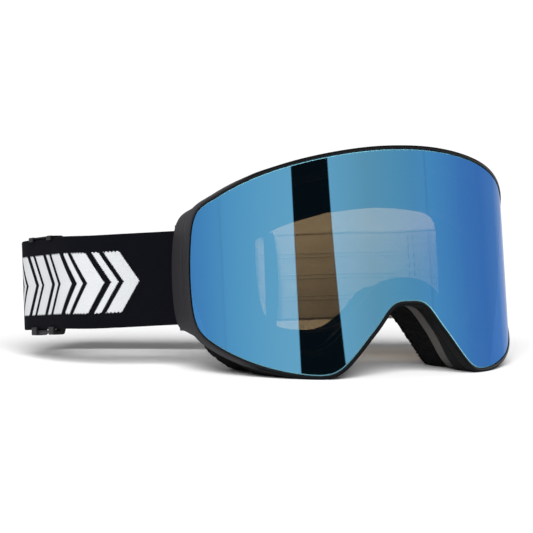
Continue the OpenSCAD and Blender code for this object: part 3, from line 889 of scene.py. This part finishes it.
def slot_cutter():
    """Seven slots through the top wall and two through the bottom wall."""
    blocks = []
    for x in (-48, -32, -16, 0, 16, 32, 48):
        wall = float(np.interp(abs(x), [0, 30, 50, 62], [49, 47, 43.5, 40]))
        blocks.append(slot_block(x, 5.5, wall - 8, wall + 9))
    for x in (-53, 53):
        blocks.append(slot_block(x, 3, -54, -38))
    return make("cutter", *gather(blocks), [m_inner], smooth=False)


shell = shell_solid()
cutter = slot_cutter()
cut = shell.modifiers.new("cut", "BOOLEAN")
cut.operation, cut.solver, cut.object = "DIFFERENCE", "EXACT", cutter
apply_modifiers(shell)
bpy.data.objects.remove(cutter)
shade_smooth(shell.data, 35)
register(shell, "frame", "frame_body")


def lug(side, z):
    """Ear that holds one end of a strap bar: plan outline from z up."""
    radius = 1.85
    points = [(77.8, 66.5), (77.5, 71.0)]
    for k in range(15):
        angle = math.radians(25 + 155 * k / 14)
        points.append((BAR_X + radius * math.cos(angle), BAR_Y + radius * math.sin(angle)))
    points += [(BAR_X - 2.2, 71), (74.9, 65.0), (75.6, 63.6), (77.4, 63.9)]
    plan = np.array(points) * [side, 1]
    if side < 0:
        plan = plan[::-1]
    low, high = (np.c_[plan, np.full(len(plan), height)] for height in (z, z + 1.8))
    piece = make("lug", *prism(low, high), [m_wall], smooth=False)
    bevel = piece.modifiers.new("b", "BEVEL")
    bevel.width, bevel.segments = 0.00035, 3
    bevel.limit_method, bevel.angle_limit = "ANGLE", math.radians(40)
    return apply_modifiers(piece)


lugs = join("frame_bar_lugs", [lug(side, z) for side in (-1, 1) for z in (22.2, -24.0)],
            m_wall)
register(lugs, "frame")

for side, tag in ((-1, "right"), (1, "left")):
    verts, faces = round_bar(
        (side * BAR_X, BAR_Y, 0), across=(1, 0, 0), up=(0, 1, 0), axis=(0, 0, 1),
        radius=1.4, low=-24.3, high=24.3, bevel=0.3, ease_in=0.08)
    bar = make("bar_pin_" + tag, verts, faces, [m_steel])
    register(bar, "frame", "strap_bar_" + tag)


# flange that carries the foam
def clipped(line, half_width, times):
    line = line.copy()
    line[:, 0] = np.clip(line[:, 0], -half_width, half_width)
    return relaxed(line, times)


def widened(line, half_width):
    """Eye outline stretched sideways to a half width, most at its ends."""
    reach = EYE_EDGE[5][0]
    stretch = 1 + (half_width / reach - 1) * np.abs(line[:, 0]) / reach
    return np.c_[line[:, 0] * stretch, line[:, 1]]


def topped(line):
    """Opening whose upper edge slopes down towards its corners."""
    line = line.copy()
    top = np.interp(np.abs(line[:, 0]), [0, 9.8, 25.5, 39.5, 45.7, 51.7, 60],
                    [25.6, 25.2, 23.7, 20.3, 18.1, 15.0, 10.4])
    line[:, 1] = np.minimum(line[:, 1], top)
    return relaxed(line, 3)


def squared(line):
    """Opening with fuller upper corners."""
    line = line.copy()
    weight = np.exp(-((np.abs(line[:, 0]) - 42) / 8) ** 2 - ((line[:, 1] - 19) / 9) ** 2)
    line[:, 0] += np.sign(line[:, 0]) * 2.4 * weight
    line[:, 1] += 2.2 * weight
    return relaxed(line, 3)


outside = clipped(grown(BODY, -2.35), 69.6, 10)
opening = grown(topped(widened(EYE, 58)), 1.2)
# (share of the way from the outside to the opening, depth)
FLANGE = [(0, 16.4), (0, 18.2), (0.02, 18.33), (0.97, 18.35), (1, 18.15), (1, 16.6),
          (0.97, 16.4)]
rings, _ = refined([in_body(mixed(outside, opening, t), depth) for t, depth in FLANGE], 5)
flange = ring_solid("flange", rings, [m_flange], floor=TABLE + 2.35)
register(flange, "frame", "face_flange")


# foams inside the slotted walls
def vent_strip(name, first, last, floor=-math.inf):
    """Strip along the inside of the wall between two points of the body outline."""
    index = [i % POINTS for i in range(first, last + 1)]
    outer, inner = grown(BODY, -2.4)[index], grown(BODY, -3.6)[index]
    front, rear, round_edge = 8.3, 16.1, 0.2
    # (share of the way from outer to inner, depth)
    profile = [(0, front + round_edge), (0, rear - round_edge), (0.2, rear), (0.8, rear),
               (1, rear - round_edge), (1, front + round_edge), (0.8, front), (0.2, front)]
    verts = np.vstack([to_scene(behind_lens(mixed(outer, inner, t), depth))
                       for t, depth in profile])
    verts[:, 2] = np.maximum(verts[:, 2], floor * MM)
    rows, cols = len(profile), len(index)
    faces = loft_faces(rows, cols, wrap_cols=False)
    faces.append(tuple(j * cols for j in range(rows))[::-1])
    faces.append(tuple(j * cols + cols - 1 for j in range(rows)))
    return make(name, verts, faces, [m_vent])


left_x, left_z = BODY[:POINTS // 2].T
top_end = int(np.argmin(np.abs(left_x - 56) + 99 * (left_z < 0)))
top_foam = vent_strip("vent_foam_top", POINTS - top_end, POINTS + top_end)
register(top_foam, "frame", "top_vent_foam")
bottom = np.flatnonzero((left_z < -20) & (left_x > 46.5) & (left_x < 59.5))
first, last = int(bottom.min()), int(bottom.max())
bottom_foams = join("vent_foams_bottom", [
    vent_strip("vl", first, last, TABLE + 2.3),
    vent_strip("vr", POINTS - last, POINTS - first, TABLE + 2.3)], m_vent)
register(bottom_foams, "frame", "bottom_vent_foams")


# ------------------------------------------------------------------ face foam
def quarter(steps):
    return [math.radians(90 * k / steps) for k in range(steps + 1)]


def foam_ring(name, mat, outer, eyes, depths, rounding, bulge, step):
    """Soft ring with rounded edges and a crowned rear face. eyes, depths and rounding are
    (front, rear) pairs; the opening changes from the front one to the rear one."""
    front, rear = depths
    round_front, round_rear = rounding
    straight = rear - front - round_front - round_rear
    # profile: (place, inset from that side or share of the way across, depth)
    profile = [("outer", round_front * (1 - math.sin(a)), front + round_front * (1 - math.cos(a)))
               for a in quarter(4)]
    profile += [("outer", -bulge * math.sin(math.pi * k / 4),
                 front + round_front + straight * k / 4) for k in range(1, 4)]
    profile += [("outer", round_rear * (1 - math.cos(a)), rear - round_rear * (1 - math.sin(a)))
                for a in quarter(5)]
    profile += [("across", k / 6, rear + 0.25 * math.sin(math.pi * k / 6))
                for k in range(1, 6)]
    profile += [("inner", round_rear * (1 - math.sin(a)), rear - round_rear * (1 - math.cos(a)))
                for a in quarter(5)]
    profile += [("inner", -bulge * math.sin(math.pi * k / 4),
                 rear - round_rear - straight * k / 4) for k in range(1, 4)]
    profile += [("inner", round_front * (1 - math.cos(a)),
                 front + round_front * (1 - math.sin(a))) for a in quarter(4)]
    profile += [("across", 1 - k / 4, front) for k in range(1, 4)]
    rings = []
    for place, amount, depth in profile:
        eye = mixed(*eyes, min(1.0, max(0.0, (depth - front) / (rear - front))))
        if place == "outer":
            line = grown(outer, -amount)
        elif place == "inner":
            line = grown(eye, amount)
        else:
            line = mixed(grown(outer, -round_rear), grown(eye, round_rear), amount)
        rings.append(in_body(line, depth))
    rings, _ = refined(rings, step)
    return ring_solid(name, rings, [mat], floor=RESTING)


def roughen(piece, height, scale, seed, octaves=3):
    """Uneven skin, except where the piece rests on the table. height is in metres."""
    bm = bmesh.new()
    bm.from_mesh(piece.data)
    bm.normal_update()
    shift = Vector((seed, seed * 0.7, -seed))
    for v in bm.verts:
        swell = noise.fractal(v.co * scale + shift, 0.6, 2.1, octaves,
                              noise_basis="PERLIN_ORIGINAL")
        if v.co.z < (RESTING + 0.6) * MM and v.normal.z < -0.3:
            continue
        v.co += v.normal * (swell * height)
        v.co.z = max(v.co.z, RESTING * MM)
    bm.to_mesh(piece.data)
    bm.free()


def eye_opening(half_width):
    return relaxed(widened(EYE, half_width), 4)


firm = foam_ring(
    "foam_firm_layer", m_firm, outer=clipped(grown(BODY, -2.0), 68.6, 16),
    eyes=(topped(eye_opening(58.5)), topped(eye_opening(56.5))),
    depths=(18.44, 27.15), rounding=(0.5, 0.5), bulge=0.25, step=2.4)
roughen(firm, height=0.00010, scale=900, seed=3.0)
soft = foam_ring(
    "foam_soft_layer", m_soft, outer=clipped(grown(BODY, -2.0), 67.6, 24),
    eyes=(eye_opening(54.8), squared(eye_opening(49.0))),
    depths=(27.26, 41.9), rounding=(1.0, 1.6), bulge=0.5, step=2.0)
roughen(soft, height=0.00040, scale=700, seed=9.0)
fleece = foam_ring(
    "fleece_layer", m_fleece, outer=clipped(grown(BODY, -2.4), 66.0, 30),
    eyes=(squared(eye_opening(47.2)), squared(eye_opening(46.5))),
    depths=(42.06, 44.4), rounding=(0.5, 1.1), bulge=0.1, step=0.9)
roughen(fleece, height=0.00055, scale=900, seed=21.0, octaves=4)
register(firm, "frame", "face_foam_base")
register(soft, "frame", "face_foam_middle")
register(fleece, "frame", "face_fleece")


# ------------------------------------------------------------------ strap path
# In plan the strap leaves the right bar straight, bends to the side run, and turns round the
# back in one wide bend to the straight run that ends at the left bar.
def ahead(heading):
    return np.array([math.cos(math.radians(heading)), math.sin(math.radians(heading))])


def outward(heading):
    """Left of the heading, which is the outside of the strap."""
    return np.array([-math.sin(math.radians(heading)), math.cos(math.radians(heading))])


def cross(a, b):
    return a[0] * b[1] - a[1] * b[0]


STRAP_WIDTH, STRAP_THICK = 42.5, 1.46
PLY = 2.23  # from a bar's axis to the middle of the webbing
BAR = {"right": np.array([-BAR_X, BAR_Y]), "left": np.array([BAR_X, BAR_Y])}
RIGHT_HEADING, SIDE_HEADING, LEFT_HEADING = 155.8, 98.0, -29.1
RIGHT_RUN, SIDE_RUN, BEND_RADIUS = 28.0, 32.0, 34.0
RISE = math.radians(2.4)  # turn of the strap about the line of the two bars

START = BAR["right"] + PLY * outward(RIGHT_HEADING)
END = BAR["left"] + PLY * outward(LEFT_HEADING)
BEND_CENTRE = START + RIGHT_RUN * ahead(RIGHT_HEADING) - BEND_RADIUS * outward(RIGHT_HEADING)
SIDE_START = BEND_CENTRE + BEND_RADIUS * outward(SIDE_HEADING)
SIDE_END = SIDE_START + SIDE_RUN * ahead(SIDE_HEADING)
# the back bend's radius and the left run's length that close the path on END
turn = outward(LEFT_HEADING) - outward(SIDE_HEADING)
determinant = cross(turn, ahead(LEFT_HEADING))
BACK_RADIUS = cross(END - SIDE_END, ahead(LEFT_HEADING)) / determinant
LEFT_RUN = cross(turn, END - SIDE_END) / determinant
BACK_CENTRE = SIDE_END - BACK_RADIUS * outward(SIDE_HEADING)
# distances along the strap
AT_SIDE = RIGHT_RUN + BEND_RADIUS * math.radians(RIGHT_HEADING - SIDE_HEADING)
AT_BACK = AT_SIDE + SIDE_RUN
AT_LEFT = AT_BACK + BACK_RADIUS * math.radians(SIDE_HEADING - LEFT_HEADING)
TOTAL = AT_LEFT + LEFT_RUN


def station(s):
    """Plan place and heading at the distance s along the strap from the right bar."""
    if s <= RIGHT_RUN:
        return START + s * ahead(RIGHT_HEADING), RIGHT_HEADING
    if s <= AT_SIDE:
        heading = RIGHT_HEADING - math.degrees((s - RIGHT_RUN) / BEND_RADIUS)
        return BEND_CENTRE + BEND_RADIUS * outward(heading), heading
    if s <= AT_BACK:
        return SIDE_START + (s - AT_SIDE) * ahead(SIDE_HEADING), SIDE_HEADING
    if s <= AT_LEFT:
        heading = SIDE_HEADING - math.degrees((s - AT_BACK) / BACK_RADIUS)
        return BACK_CENTRE + BACK_RADIUS * outward(heading), heading
    return END - (TOTAL - s) * ahead(LEFT_HEADING), LEFT_HEADING


def raised(points, s=None):
    """Turns strap points by RISE; given s, the turn fades in along the strap from its sewn
    ends."""
    points = np.array(points, float)
    weight = 1.0
    if s is not None:
        weight = ease(np.clip((np.minimum(s, TOTAL - np.asarray(s, float)) - 30.5) / 30.0, 0, 1))
    cosine, sine = np.cos(RISE * weight), np.sin(RISE * weight)
    y, z = points[..., 1] - BAR_Y, points[..., 2].copy()
    points[..., 1] = BAR_Y + y * cosine - z * sine
    points[..., 2] = y * sine + z * cosine
    return points


def strap_point(s):
    return Vector(to_scene(raised([*station(s)[0], 0.0], s)))


def strap_path(start, stop, step=1.0):
    """Stations (x, y, heading, s) along the strap."""
    count = max(2, int(math.ceil((stop - start) / step)))
    path = []
    for i in range(count + 1):
        s = start + (stop - start) * i / count
        place, heading = station(s)
        path.append((*place, heading, s))
    return path


# ------------------------------------------------------------------ strap webbing
def section(width, thick, edge_steps=4, flat_steps=22):
    """Closed cross-section of webbing: (offset to the outside, height, face)."""
    r, half = thick / 2, width / 2
    points = []
    for k in range(flat_steps + 1):
        points.append((r, -half + r + (width - 2 * r) * k / flat_steps, 1.0))
    for k in range(1, edge_steps):
        a = math.radians(90 - 180 * k / edge_steps)
        points.append((r * math.sin(a), half - r + r * math.cos(a), math.sin(a)))
    for k in range(flat_steps + 1):
        points.append((-r, half - r - (width - 2 * r) * k / flat_steps, -1.0))
    for k in range(1, edge_steps):
        a = math.radians(-90 + 180 * k / edge_steps)
        points.append((r * math.sin(a), -half + r - r * math.cos(a), math.sin(a)))
    return points


def swept(centres, normals, arcs, profile):
    """Points of a section swept in plan, and their weave attributes."""
    verts = [(centre[0] + offset * normal[0], centre[1] + offset * normal[1], z)
             for centre, normal in zip(centres, normals) for offset, z, _ in profile]
    _, heights, sides = np.array(profile).T
    attrs = {"sa": np.repeat(arcs, len(profile)), "za": np.tile(heights, len(centres)),
             "fa": np.tile(sides, len(centres))}
    return np.array(verts), attrs


def ribbon(name, path, start_cap=False, flip=1.0, turned=lambda s: s != s):
    """Strap webbing along stations. flip -1 swaps its two sides for the weave; where turned,
    both sides have the inside weave."""
    profile = section(STRAP_WIDTH, STRAP_THICK)
    x, y, headings, arcs = np.array(path).T
    normals = [outward(heading) for heading in headings]
    verts, attrs = swept(list(zip(x, y)), normals, arcs, profile)
    side = attrs["fa"]
    attrs["fa"] = np.where(turned(attrs["sa"]) & (np.abs(side) > 0.3), -1.0, side * flip)
    rows, cols = len(path), len(profile)
    faces = tube_faces(rows, cols, start_cap, end_cap=False)
    piece = make(name, to_scene(raised(verts, attrs["sa"])), faces, [m_web], angle=50,
                 attrs=attrs)
    # the ribbon is open, so its normals are checked on the outside
    middle = rows // 2
    face = piece.data.polygons[middle * cols + cols // 5]
    if face.normal.dot(Vector(to_scene([*normals[middle], 0.0]) * 1000)) < 0:
        piece.data.flip_normals()
    return piece


PATTERN_START = 19.0
m_web = webbing("webbing_pattern", (PATTERN_START, TOTAL - PATTERN_START + 10))
m_tab = webbing("webbing_plain")


def catmull(points, steps=7):
    points = np.array(points, float)
    out = []
    for i in range(len(points) - 1):
        p0, p1, p2 = points[max(i - 1, 0)], points[i], points[i + 1]
        p3 = points[min(i + 2, len(points) - 1)]
        for k in range(steps):
            u = k / steps
            out.append(0.5 * ((2 * p1) + (p2 - p0) * u + (2 * p0 - 5 * p1 + 4 * p2 - p3) * u * u
                              + (3 * p1 - p0 - 3 * p2 + p3) * u ** 3))
    out.append(points[-1])
    return np.array(out)


# The strap is sewn double near the bars, is made of separate pieces up to FLEX_END, and is one
# body beyond. The part up to FLEX_END is shorter on the left, where the adjuster can slide close.
SEWN_END = 28.0
FLEX_END = {"right": 62.0, "left": 53.5}
SIDES = ("right", "left")


def from_bar(side, distance):
    return distance if side == "right" else TOTAL - distance


def blend_end(piece, side):
    strap_point(from_bar(side, 8))
    strap_point(from_bar(side, 27))
    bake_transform(piece)


def blend_flex(piece, side):
    strap_point(from_bar(side, SEWN_END + 1.5))
    strap_point(from_bar(side, FLEX_END[side] - 2))
    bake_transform(piece)


def loop_to_plan(points, side):
    """Loop frame (x along the strap from the bar, y to the outside) to the plan."""
    if side == "right":
        return (BAR[side] + points[:, :1] * ahead(RIGHT_HEADING)
                + points[:, 1:] * outward(RIGHT_HEADING))
    heading = LEFT_HEADING + 180
    return BAR[side] + points[:, :1] * ahead(heading) - points[:, 1:] * outward(heading)


def sewn_end(side):
    """From the free end of the return layer, round the bar and out along the outer layer."""
    x = catmull([30.2, 24, 17, 12.5, 9, 5.5, 2.5, 0])[:-1]
    # the return layer lies under the outer one and drops to the bar's inner side
    drop = ease(np.maximum(1 - x / 12.4, 0))
    points = list(zip(x, (PLY - 1.56) * (1 - drop) - PLY * drop))
    for k in range(25):
        angle = math.radians(-90 - 180 * k / 24)
        points.append((PLY * math.cos(angle), PLY * math.sin(angle)))
    past_bar = len(points) - 1
    points += [(u, PLY) for u in np.linspace(1.0, SEWN_END, 28)]
    plan = loop_to_plan(np.array(points), side)
    along = np.gradient(plan, axis=0)
    headings = np.degrees(np.arctan2(along[:, 1], along[:, 0]))
    arc = np.r_[0, np.cumsum(np.linalg.norm(np.diff(plan, axis=0), axis=1))]
    # the arc length is 0 at the bar's outer side, as on the main path
    arc = arc - arc[past_bar]
    if side == "right":
        return ribbon("strap_end_webbing_right", np.c_[plan, headings, arc], start_cap=True,
                      turned=lambda s: s < -3.0)
    return ribbon("strap_end_webbing_left", np.c_[plan, headings, TOTAL - arc],
                  start_cap=True, flip=-1.0, turned=lambda s: s > TOTAL + 3.0)


for side in SIDES:
    end = sewn_end(side)
    blend_end(end, side)
    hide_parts("strap_loop_" + side)

# parts up to FLEX_END and the band between them
LEFT_FLEX = TOTAL - FLEX_END["left"]
flex_spans = {"right": (SEWN_END, FLEX_END["right"]), "left": (LEFT_FLEX, TOTAL - SEWN_END)}
for side in SIDES:
    flex = ribbon("strap_flex_" + side, strap_path(*flex_spans[side]))
    blend_flex(flex, side)
band = ribbon("strap_webbing", strap_path(FLEX_END["right"], LEFT_FLEX, 1.1))
register(band, "strap", "strap_band")


def grip_lines(name, start, stop, step=1.2):
    """Three pairs of silicone beads along the inside of the strap."""
    inside = -0.72
    bead = [(-0.30 * math.sin(a), -0.38 * math.cos(a))
            for a in (math.radians(180 * k / 8) for k in range(9))]
    path = strap_path(start, stop, step)
    parts = []
    for pair in (-10.4, 0.0, 10.4):
        for middle in (pair - 0.95, pair + 0.95):
            verts = []
            for x, y, heading, s in path:
                size = 1.0 + 0.12 * math.sin(s * 0.9 + middle)
                size += 0.07 * math.sin(s * 2.3 + 2 * middle)
                normal = outward(heading)
                for depth, z in bead:
                    offset = inside + depth * size
                    verts.append(raised([x + offset * normal[0], y + offset * normal[1],
                                         middle + z * size], s))
            parts.append((to_scene(np.array(verts)), tube_faces(len(path), len(bead))))
    return make(name, *gather(parts), [m_silicone], angle=60)


GRIP_START = 35.0
grip_spans = {"right": (GRIP_START, FLEX_END["right"]), "left": (LEFT_FLEX, TOTAL - GRIP_START)}
for side in SIDES:
    lines = grip_lines("grip_lines_" + side, *grip_spans[side])
    blend_flex(lines, side)
lines = grip_lines("grip_lines", FLEX_END["right"], LEFT_FLEX, 1.5)
register(lines, "strap", "strap_grip_lines")


# ------------------------------------------------------------------ stitches
def stitch(start, stop, normal):
    """One thread stitch that arches out of the webbing along normal and dives back in."""
    start, stop, normal = (np.array(v, float) for v in (start, stop, normal))
    radius, lift, sunk, rows, segments = 0.26, 0.16, 0.14, 9, 8
    side = np.cross((stop - start) / np.linalg.norm(stop - start), normal)
    verts = []
    for i in range(rows):
        t = i / (rows - 1)
        centre = start + (stop - start) * t + normal * (lift * math.sin(math.pi * t) - sunk)
        fullness = math.sin(math.pi * min(max(t, 0.06), 0.94)) ** 0.5
        r = radius * (0.35 + 0.65 * fullness)
        for k in range(segments):
            a = 2 * math.pi * k / segments
            verts.append(centre + side * r * math.cos(a) + normal * r * math.sin(a))
    return np.array(verts), tube_faces(rows, segments)


def stitch_row(x, y, lowest, count, normal):
    """Upright row of stitches at the plan place x, y; lowest is the first one's middle."""
    pitch, half = 4.4, 1.35
    middles = [lowest + pitch * i for i in range(count)]
    return [stitch((x, y, z - half), (x, y, z + half), normal) for z in middles]


for side in SIDES:
    outside = loop_to_plan(np.array([[0.0, 1.0]]), side)[0] - BAR[side]
    inward = -np.array([*outside, 0.0])
    parts = []
    for distance in (26.5, 29.0):
        x, y = loop_to_plan(np.array([[distance, -0.06]]), side)[0]
        parts += stitch_row(x, y, -17.6, 9, inward)
    verts, faces = gather(parts)
    stitches = make("stitches_" + side, to_scene(verts), faces, [m_thread])
    blend_end(stitches, side)
    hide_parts("stitching_" + side)


# ------------------------------------------------------------------ adjusters
def on_strap(points, s):
    """Adjuster frame (x along the strap, y outside, z up) at s to the scene."""
    points = np.asarray(points, float)
    centre, heading = station(s)
    plan = centre + points[:, :1] * ahead(heading) + points[:, 1:2] * outward(heading)
    return to_scene(raised(np.c_[plan, points[:, 2]]))


def cross_bar(x0, x1, y1, half_height, bulge):
    """Upright bar whose outer edge swells towards its middle."""
    rows, y0 = 17, -4.4
    verts = []
    for i in range(rows):
        z = -half_height + 2 * half_height * i / (rows - 1)
        swell = bulge * (1 - (z / half_height) ** 2)
        low, high = (x0, x1 + swell) if bulge >= 0 else (x0 + swell, x1)
        verts += [(low, y0, z), (high, y0, z), (high, y1, z), (low, y1, z)]
    faces = loft_faces(rows, 4, wrap_rows=False)
    faces += [(3, 2, 1, 0), tuple((rows - 1) * 4 + k for k in range(4))]
    return np.array(verts, float), faces


def adjuster(name, s):
    """Moulded frame round the strap: upper and lower rails, outer hooks and cross bars."""
    half = STRAP_WIDTH / 2
    parts = [rounded_box((-12, -4.4, half + 0.15), (12, 1.2, half + 0.9), 0.34),
             rounded_box((-12, -4.4, -half - 1.9), (12, 1.2, -half - 0.35), 0.6)]
    for x0, x1 in ((-12, -7), (7, 12)):
        parts.append(rounded_box((x0, 0.9, half - 1.2), (x1, 2.0, half + 1.05), 0.45))
    for x0, x1 in ((-12, -6), (6, 12)):
        parts.append(rounded_box((x0, -4.4, -half - 2.65), (x1, 1.6, -half - 0.4), 1.1))
        parts.append(rounded_box((x0, 0.9, -half - 2.6), (x1, 2.0, -half + 1.2), 0.4))
    parts.append(cross_bar(7.4, 12.0, -1.6, half + 0.9, 1.8))
    parts.append(cross_bar(-12.0, -7.4, -1.6, half + 0.9, -1.8))
    parts.append(cross_bar(-1.6, 1.6, -2.6, half + 0.9, 0.0))
    verts, faces = gather(parts)
    piece = make(name, on_strap(verts, s), faces, [m_adjuster], smooth=False)
    # the parts fuse into one body with softened edges
    voxels = piece.modifiers.new("voxels", "REMESH")
    voxels.mode, voxels.voxel_size, voxels.use_smooth_shade = "VOXEL", 0.00034, True
    soften = piece.modifiers.new("soft", "SMOOTH")
    soften.iterations, soften.factor = 4, 0.5
    mesh = apply_modifiers(piece).data
    if not mesh.materials:
        mesh.materials.append(m_adjuster)
    mesh.polygons.foreach_set("use_smooth", [True] * len(mesh.polygons))
    mesh.polygons.foreach_set("material_index", [0] * len(mesh.polygons))
    return piece


# Webbing tab folded round the middle cross bar: (x, y) in the adjuster frame
TAB = [(-20, -6.02), (-14, -6.04), (-6, -6.02), (-2.2, -5.85), (0.4, -5.45), (2.15, -4.5),
       (2.3, -3.0), (1.2, -2.0), (-0.6, -1.86), (-2.1, -2.6), (-2.9, -3.9), (-4.6, -4.8),
       (-9, -5.08), (-14, -5.08), (-19.4, -5.08)]


def tab(name, s):
    line = catmull(TAB)
    along = np.gradient(line, axis=0)
    along /= np.linalg.norm(along, axis=1)[:, None]
    arc = np.r_[0, np.cumsum(np.linalg.norm(np.diff(line, axis=0), axis=1))]
    profile = section(STRAP_WIDTH - 1.4, 0.92)
    verts, attrs = swept(line, np.c_[-along[:, 1], along[:, 0]], arc, profile)
    return make(name, on_strap(verts, s), tube_faces(len(line), len(profile)), [m_tab],
                angle=50, attrs=attrs)


for side, s in (("right", AT_SIDE + SIDE_RUN / 2), ("left", TOTAL - 107)):
    carrier = "adjuster_" + side
    register(adjuster("adjuster_moulding_" + side, s), carrier,
             "adjuster_frame_" + side)
    register(tab("adjuster_webbing_" + side, s), carrier, "adjuster_tab_" + side)
    verts, faces = gather([part for x in (-17.5, -15.0)
                           for part in stitch_row(x, -6.42, -15.4, 8, (0, -1, 0))])
    stitches = make("tab_stitches_" + side, on_strap(verts, s), faces, [m_thread])
    register(stitches, carrier, "tab_stitching_" + side)


# ------------------------------------------------------------------ studio
def floor_paint():
    mat = Mat("studio_floor")
    mat.set(Base_Color=mat.mix(mat.noise(scale=3), (0.92, 0.92, 0.925), (0.935, 0.935, 0.94)),
            Roughness=0.8, Specular_IOR_Level=0.0)
    return mat.material


FLOOR_HALF = 9  # metres
paint = floor_paint()
mesh = bpy.data.meshes.new("studio_floor")
mesh.from_pydata([(x * FLOOR_HALF, y * FLOOR_HALF, TABLE * MM)
                  for x, y in ((-1, -1), (1, -1), (1, 1), (-1, 1))], [], [(0, 1, 2, 3)])
mesh.materials.append(paint)
floor = bpy.data.objects.new("studio_floor", mesh)
scene.collection.objects.link(floor)

# Brightness that reflections see round the room: (azimuth in degrees, grey or colour).
# Azimuth is 0 in front of the lens and positive to the wearer's left.
ROOM = [
    (-180, 0.93), (-150, 0.95), (-92.6, 1.0), (-92.2, 0.80), (-91.6, 0.80), (-91.2, 1.03),
    (-43.0, 1.06), (-21.0, 1.02), (5, (0.93, 0.865, 0.82)), (35, (0.93, 0.89, 0.87)),
    (44.6, 0.98), (45.0, 0.82), (45.5, 0.82), (45.9, 0.98), (110, 0.96), (180, 0.93)]


def build_world():
    world = bpy.data.worlds.new("studio")
    scene.world = world
    world.use_nodes = True
    sky = Nodes(world.node_tree)
    sky.tree.nodes.clear()
    split = sky.node("ShaderNodeSeparateXYZ")
    sky.put(sky.node("ShaderNodeTexCoord").outputs["Generated"], split.inputs[0])
    x, y, z = split.outputs
    azimuth = sky.mul(sky.math("ARCTAN2", x, sky.mul(y, -1.0)), 57.29578)
    stops = [((degrees + 180.0) / 360.0, shade if isinstance(shade, tuple) else (shade,) * 3)
             for degrees, shade in ROOM]
    room = sky.ramp(sky.div(sky.add(azimuth, 180.0), 360.0), stops)
    # a dark standing screen: its edge at the larger azimuth leans and curves with the height
    height = sky.div(sky.sub(z, 0.189), 0.0555)
    height = sky.math("MAXIMUM", sky.math("MINIMUM", height, 1.8), -1.8)
    curve = sky.mul(sky.mul(height, height), 1.15)
    leaning_edge = sky.add(sky.add(sky.mul(height, -2.65), curve), -18.1)
    past_first = sky.div(sky.add(azimuth, 43.2), 0.6, clamp=True)
    before_last = sky.div(sky.sub(leaning_edge, azimuth), 0.6, clamp=True)
    screened = sky.mix(sky.mul(past_first, before_last), room, (0.012, 0.012, 0.012))

    def background(colour, strength):
        node = sky.node("ShaderNodeBackground")
        sky.put(colour, node.inputs[0])
        node.inputs[1].default_value = strength
        return node.outputs[0]

    def choose(factor, otherwise, chosen):
        node = sky.node("ShaderNodeMixShader")
        for socket, value in zip(node.inputs, (factor, otherwise, chosen)):
            sky.put(value, socket)
        return node.outputs[0]

    rays = sky.node("ShaderNodeLightPath")
    seen = background((1, 1, 1), strength=1.02)
    reflected = background(screened, strength=1.0)
    fill = background((1, 1, 1), strength=0.12)
    unseen = choose(rays.outputs["Is Glossy Ray"], fill, reflected)
    surface = choose(rays.outputs["Is Camera Ray"], unseen, seen)
    sky.put(surface, sky.node("ShaderNodeOutputWorld").inputs[0])


build_world()


def sun(name, towards, strength, angle):
    """Sun that shines from the direction towards; angle is its width in degrees."""
    light = bpy.data.lights.new(name, "SUN")
    light.energy, light.angle = strength, math.radians(angle)
    lamp = bpy.data.objects.new(name, light)
    scene.collection.objects.link(lamp)
    lamp.rotation_mode = "QUATERNION"
    lamp.rotation_quaternion = Vector(towards).to_track_quat("Z", "Y")
    lamp.visible_glossy = False
    lamp.visible_camera = False
    return lamp


def light_only(lamp, name, pieces):
    receivers = bpy.data.collections.new(name)
    for piece in pieces:
        receivers.objects.link(piece)
    lamp.light_linking.receiver_collection = receivers


key = sun("key", (-0.55, -0.52, 0.66), strength=4.25, angle=44)
floor_key = sun("floor_key", (-0.30, -0.76, 0.57), strength=5.1, angle=42)
sun("top", (-0.05, -0.12, 0.99), strength=0.25, angle=70)
light_only(key, "piece_light",
           [piece for piece in scene.objects if piece.type == "MESH" and piece is not floor])
light_only(floor_key, "floor_light", [floor])

# ------------------------------------------------------------------ camera
lens_data = bpy.data.cameras.new("camera")
lens_data.lens, lens_data.sensor_width = 134.1, 36.0
lens_data.clip_start, lens_data.clip_end = 0.01, 50
camera = bpy.data.objects.new("camera", lens_data)
scene.collection.objects.link(camera)
back = Vector((-0.4093, -0.91085, 0.05263)).normalized()
right = Vector((0.0216, 0.0480, 0.9985)).cross(back).normalized()
up = back.cross(right).normalized()
pose = Matrix((right, up, back)).transposed().to_4x4()
pose.translation = Vector((-0.4091, -0.7604, 0.0424))
camera.matrix_world = pose
scene.camera = camera
scene.view_settings.view_transform = "Standard"
scene.view_settings.look = "None"
scene.view_settings.exposure = 0.0
scene.view_settings.gamma = 1.0
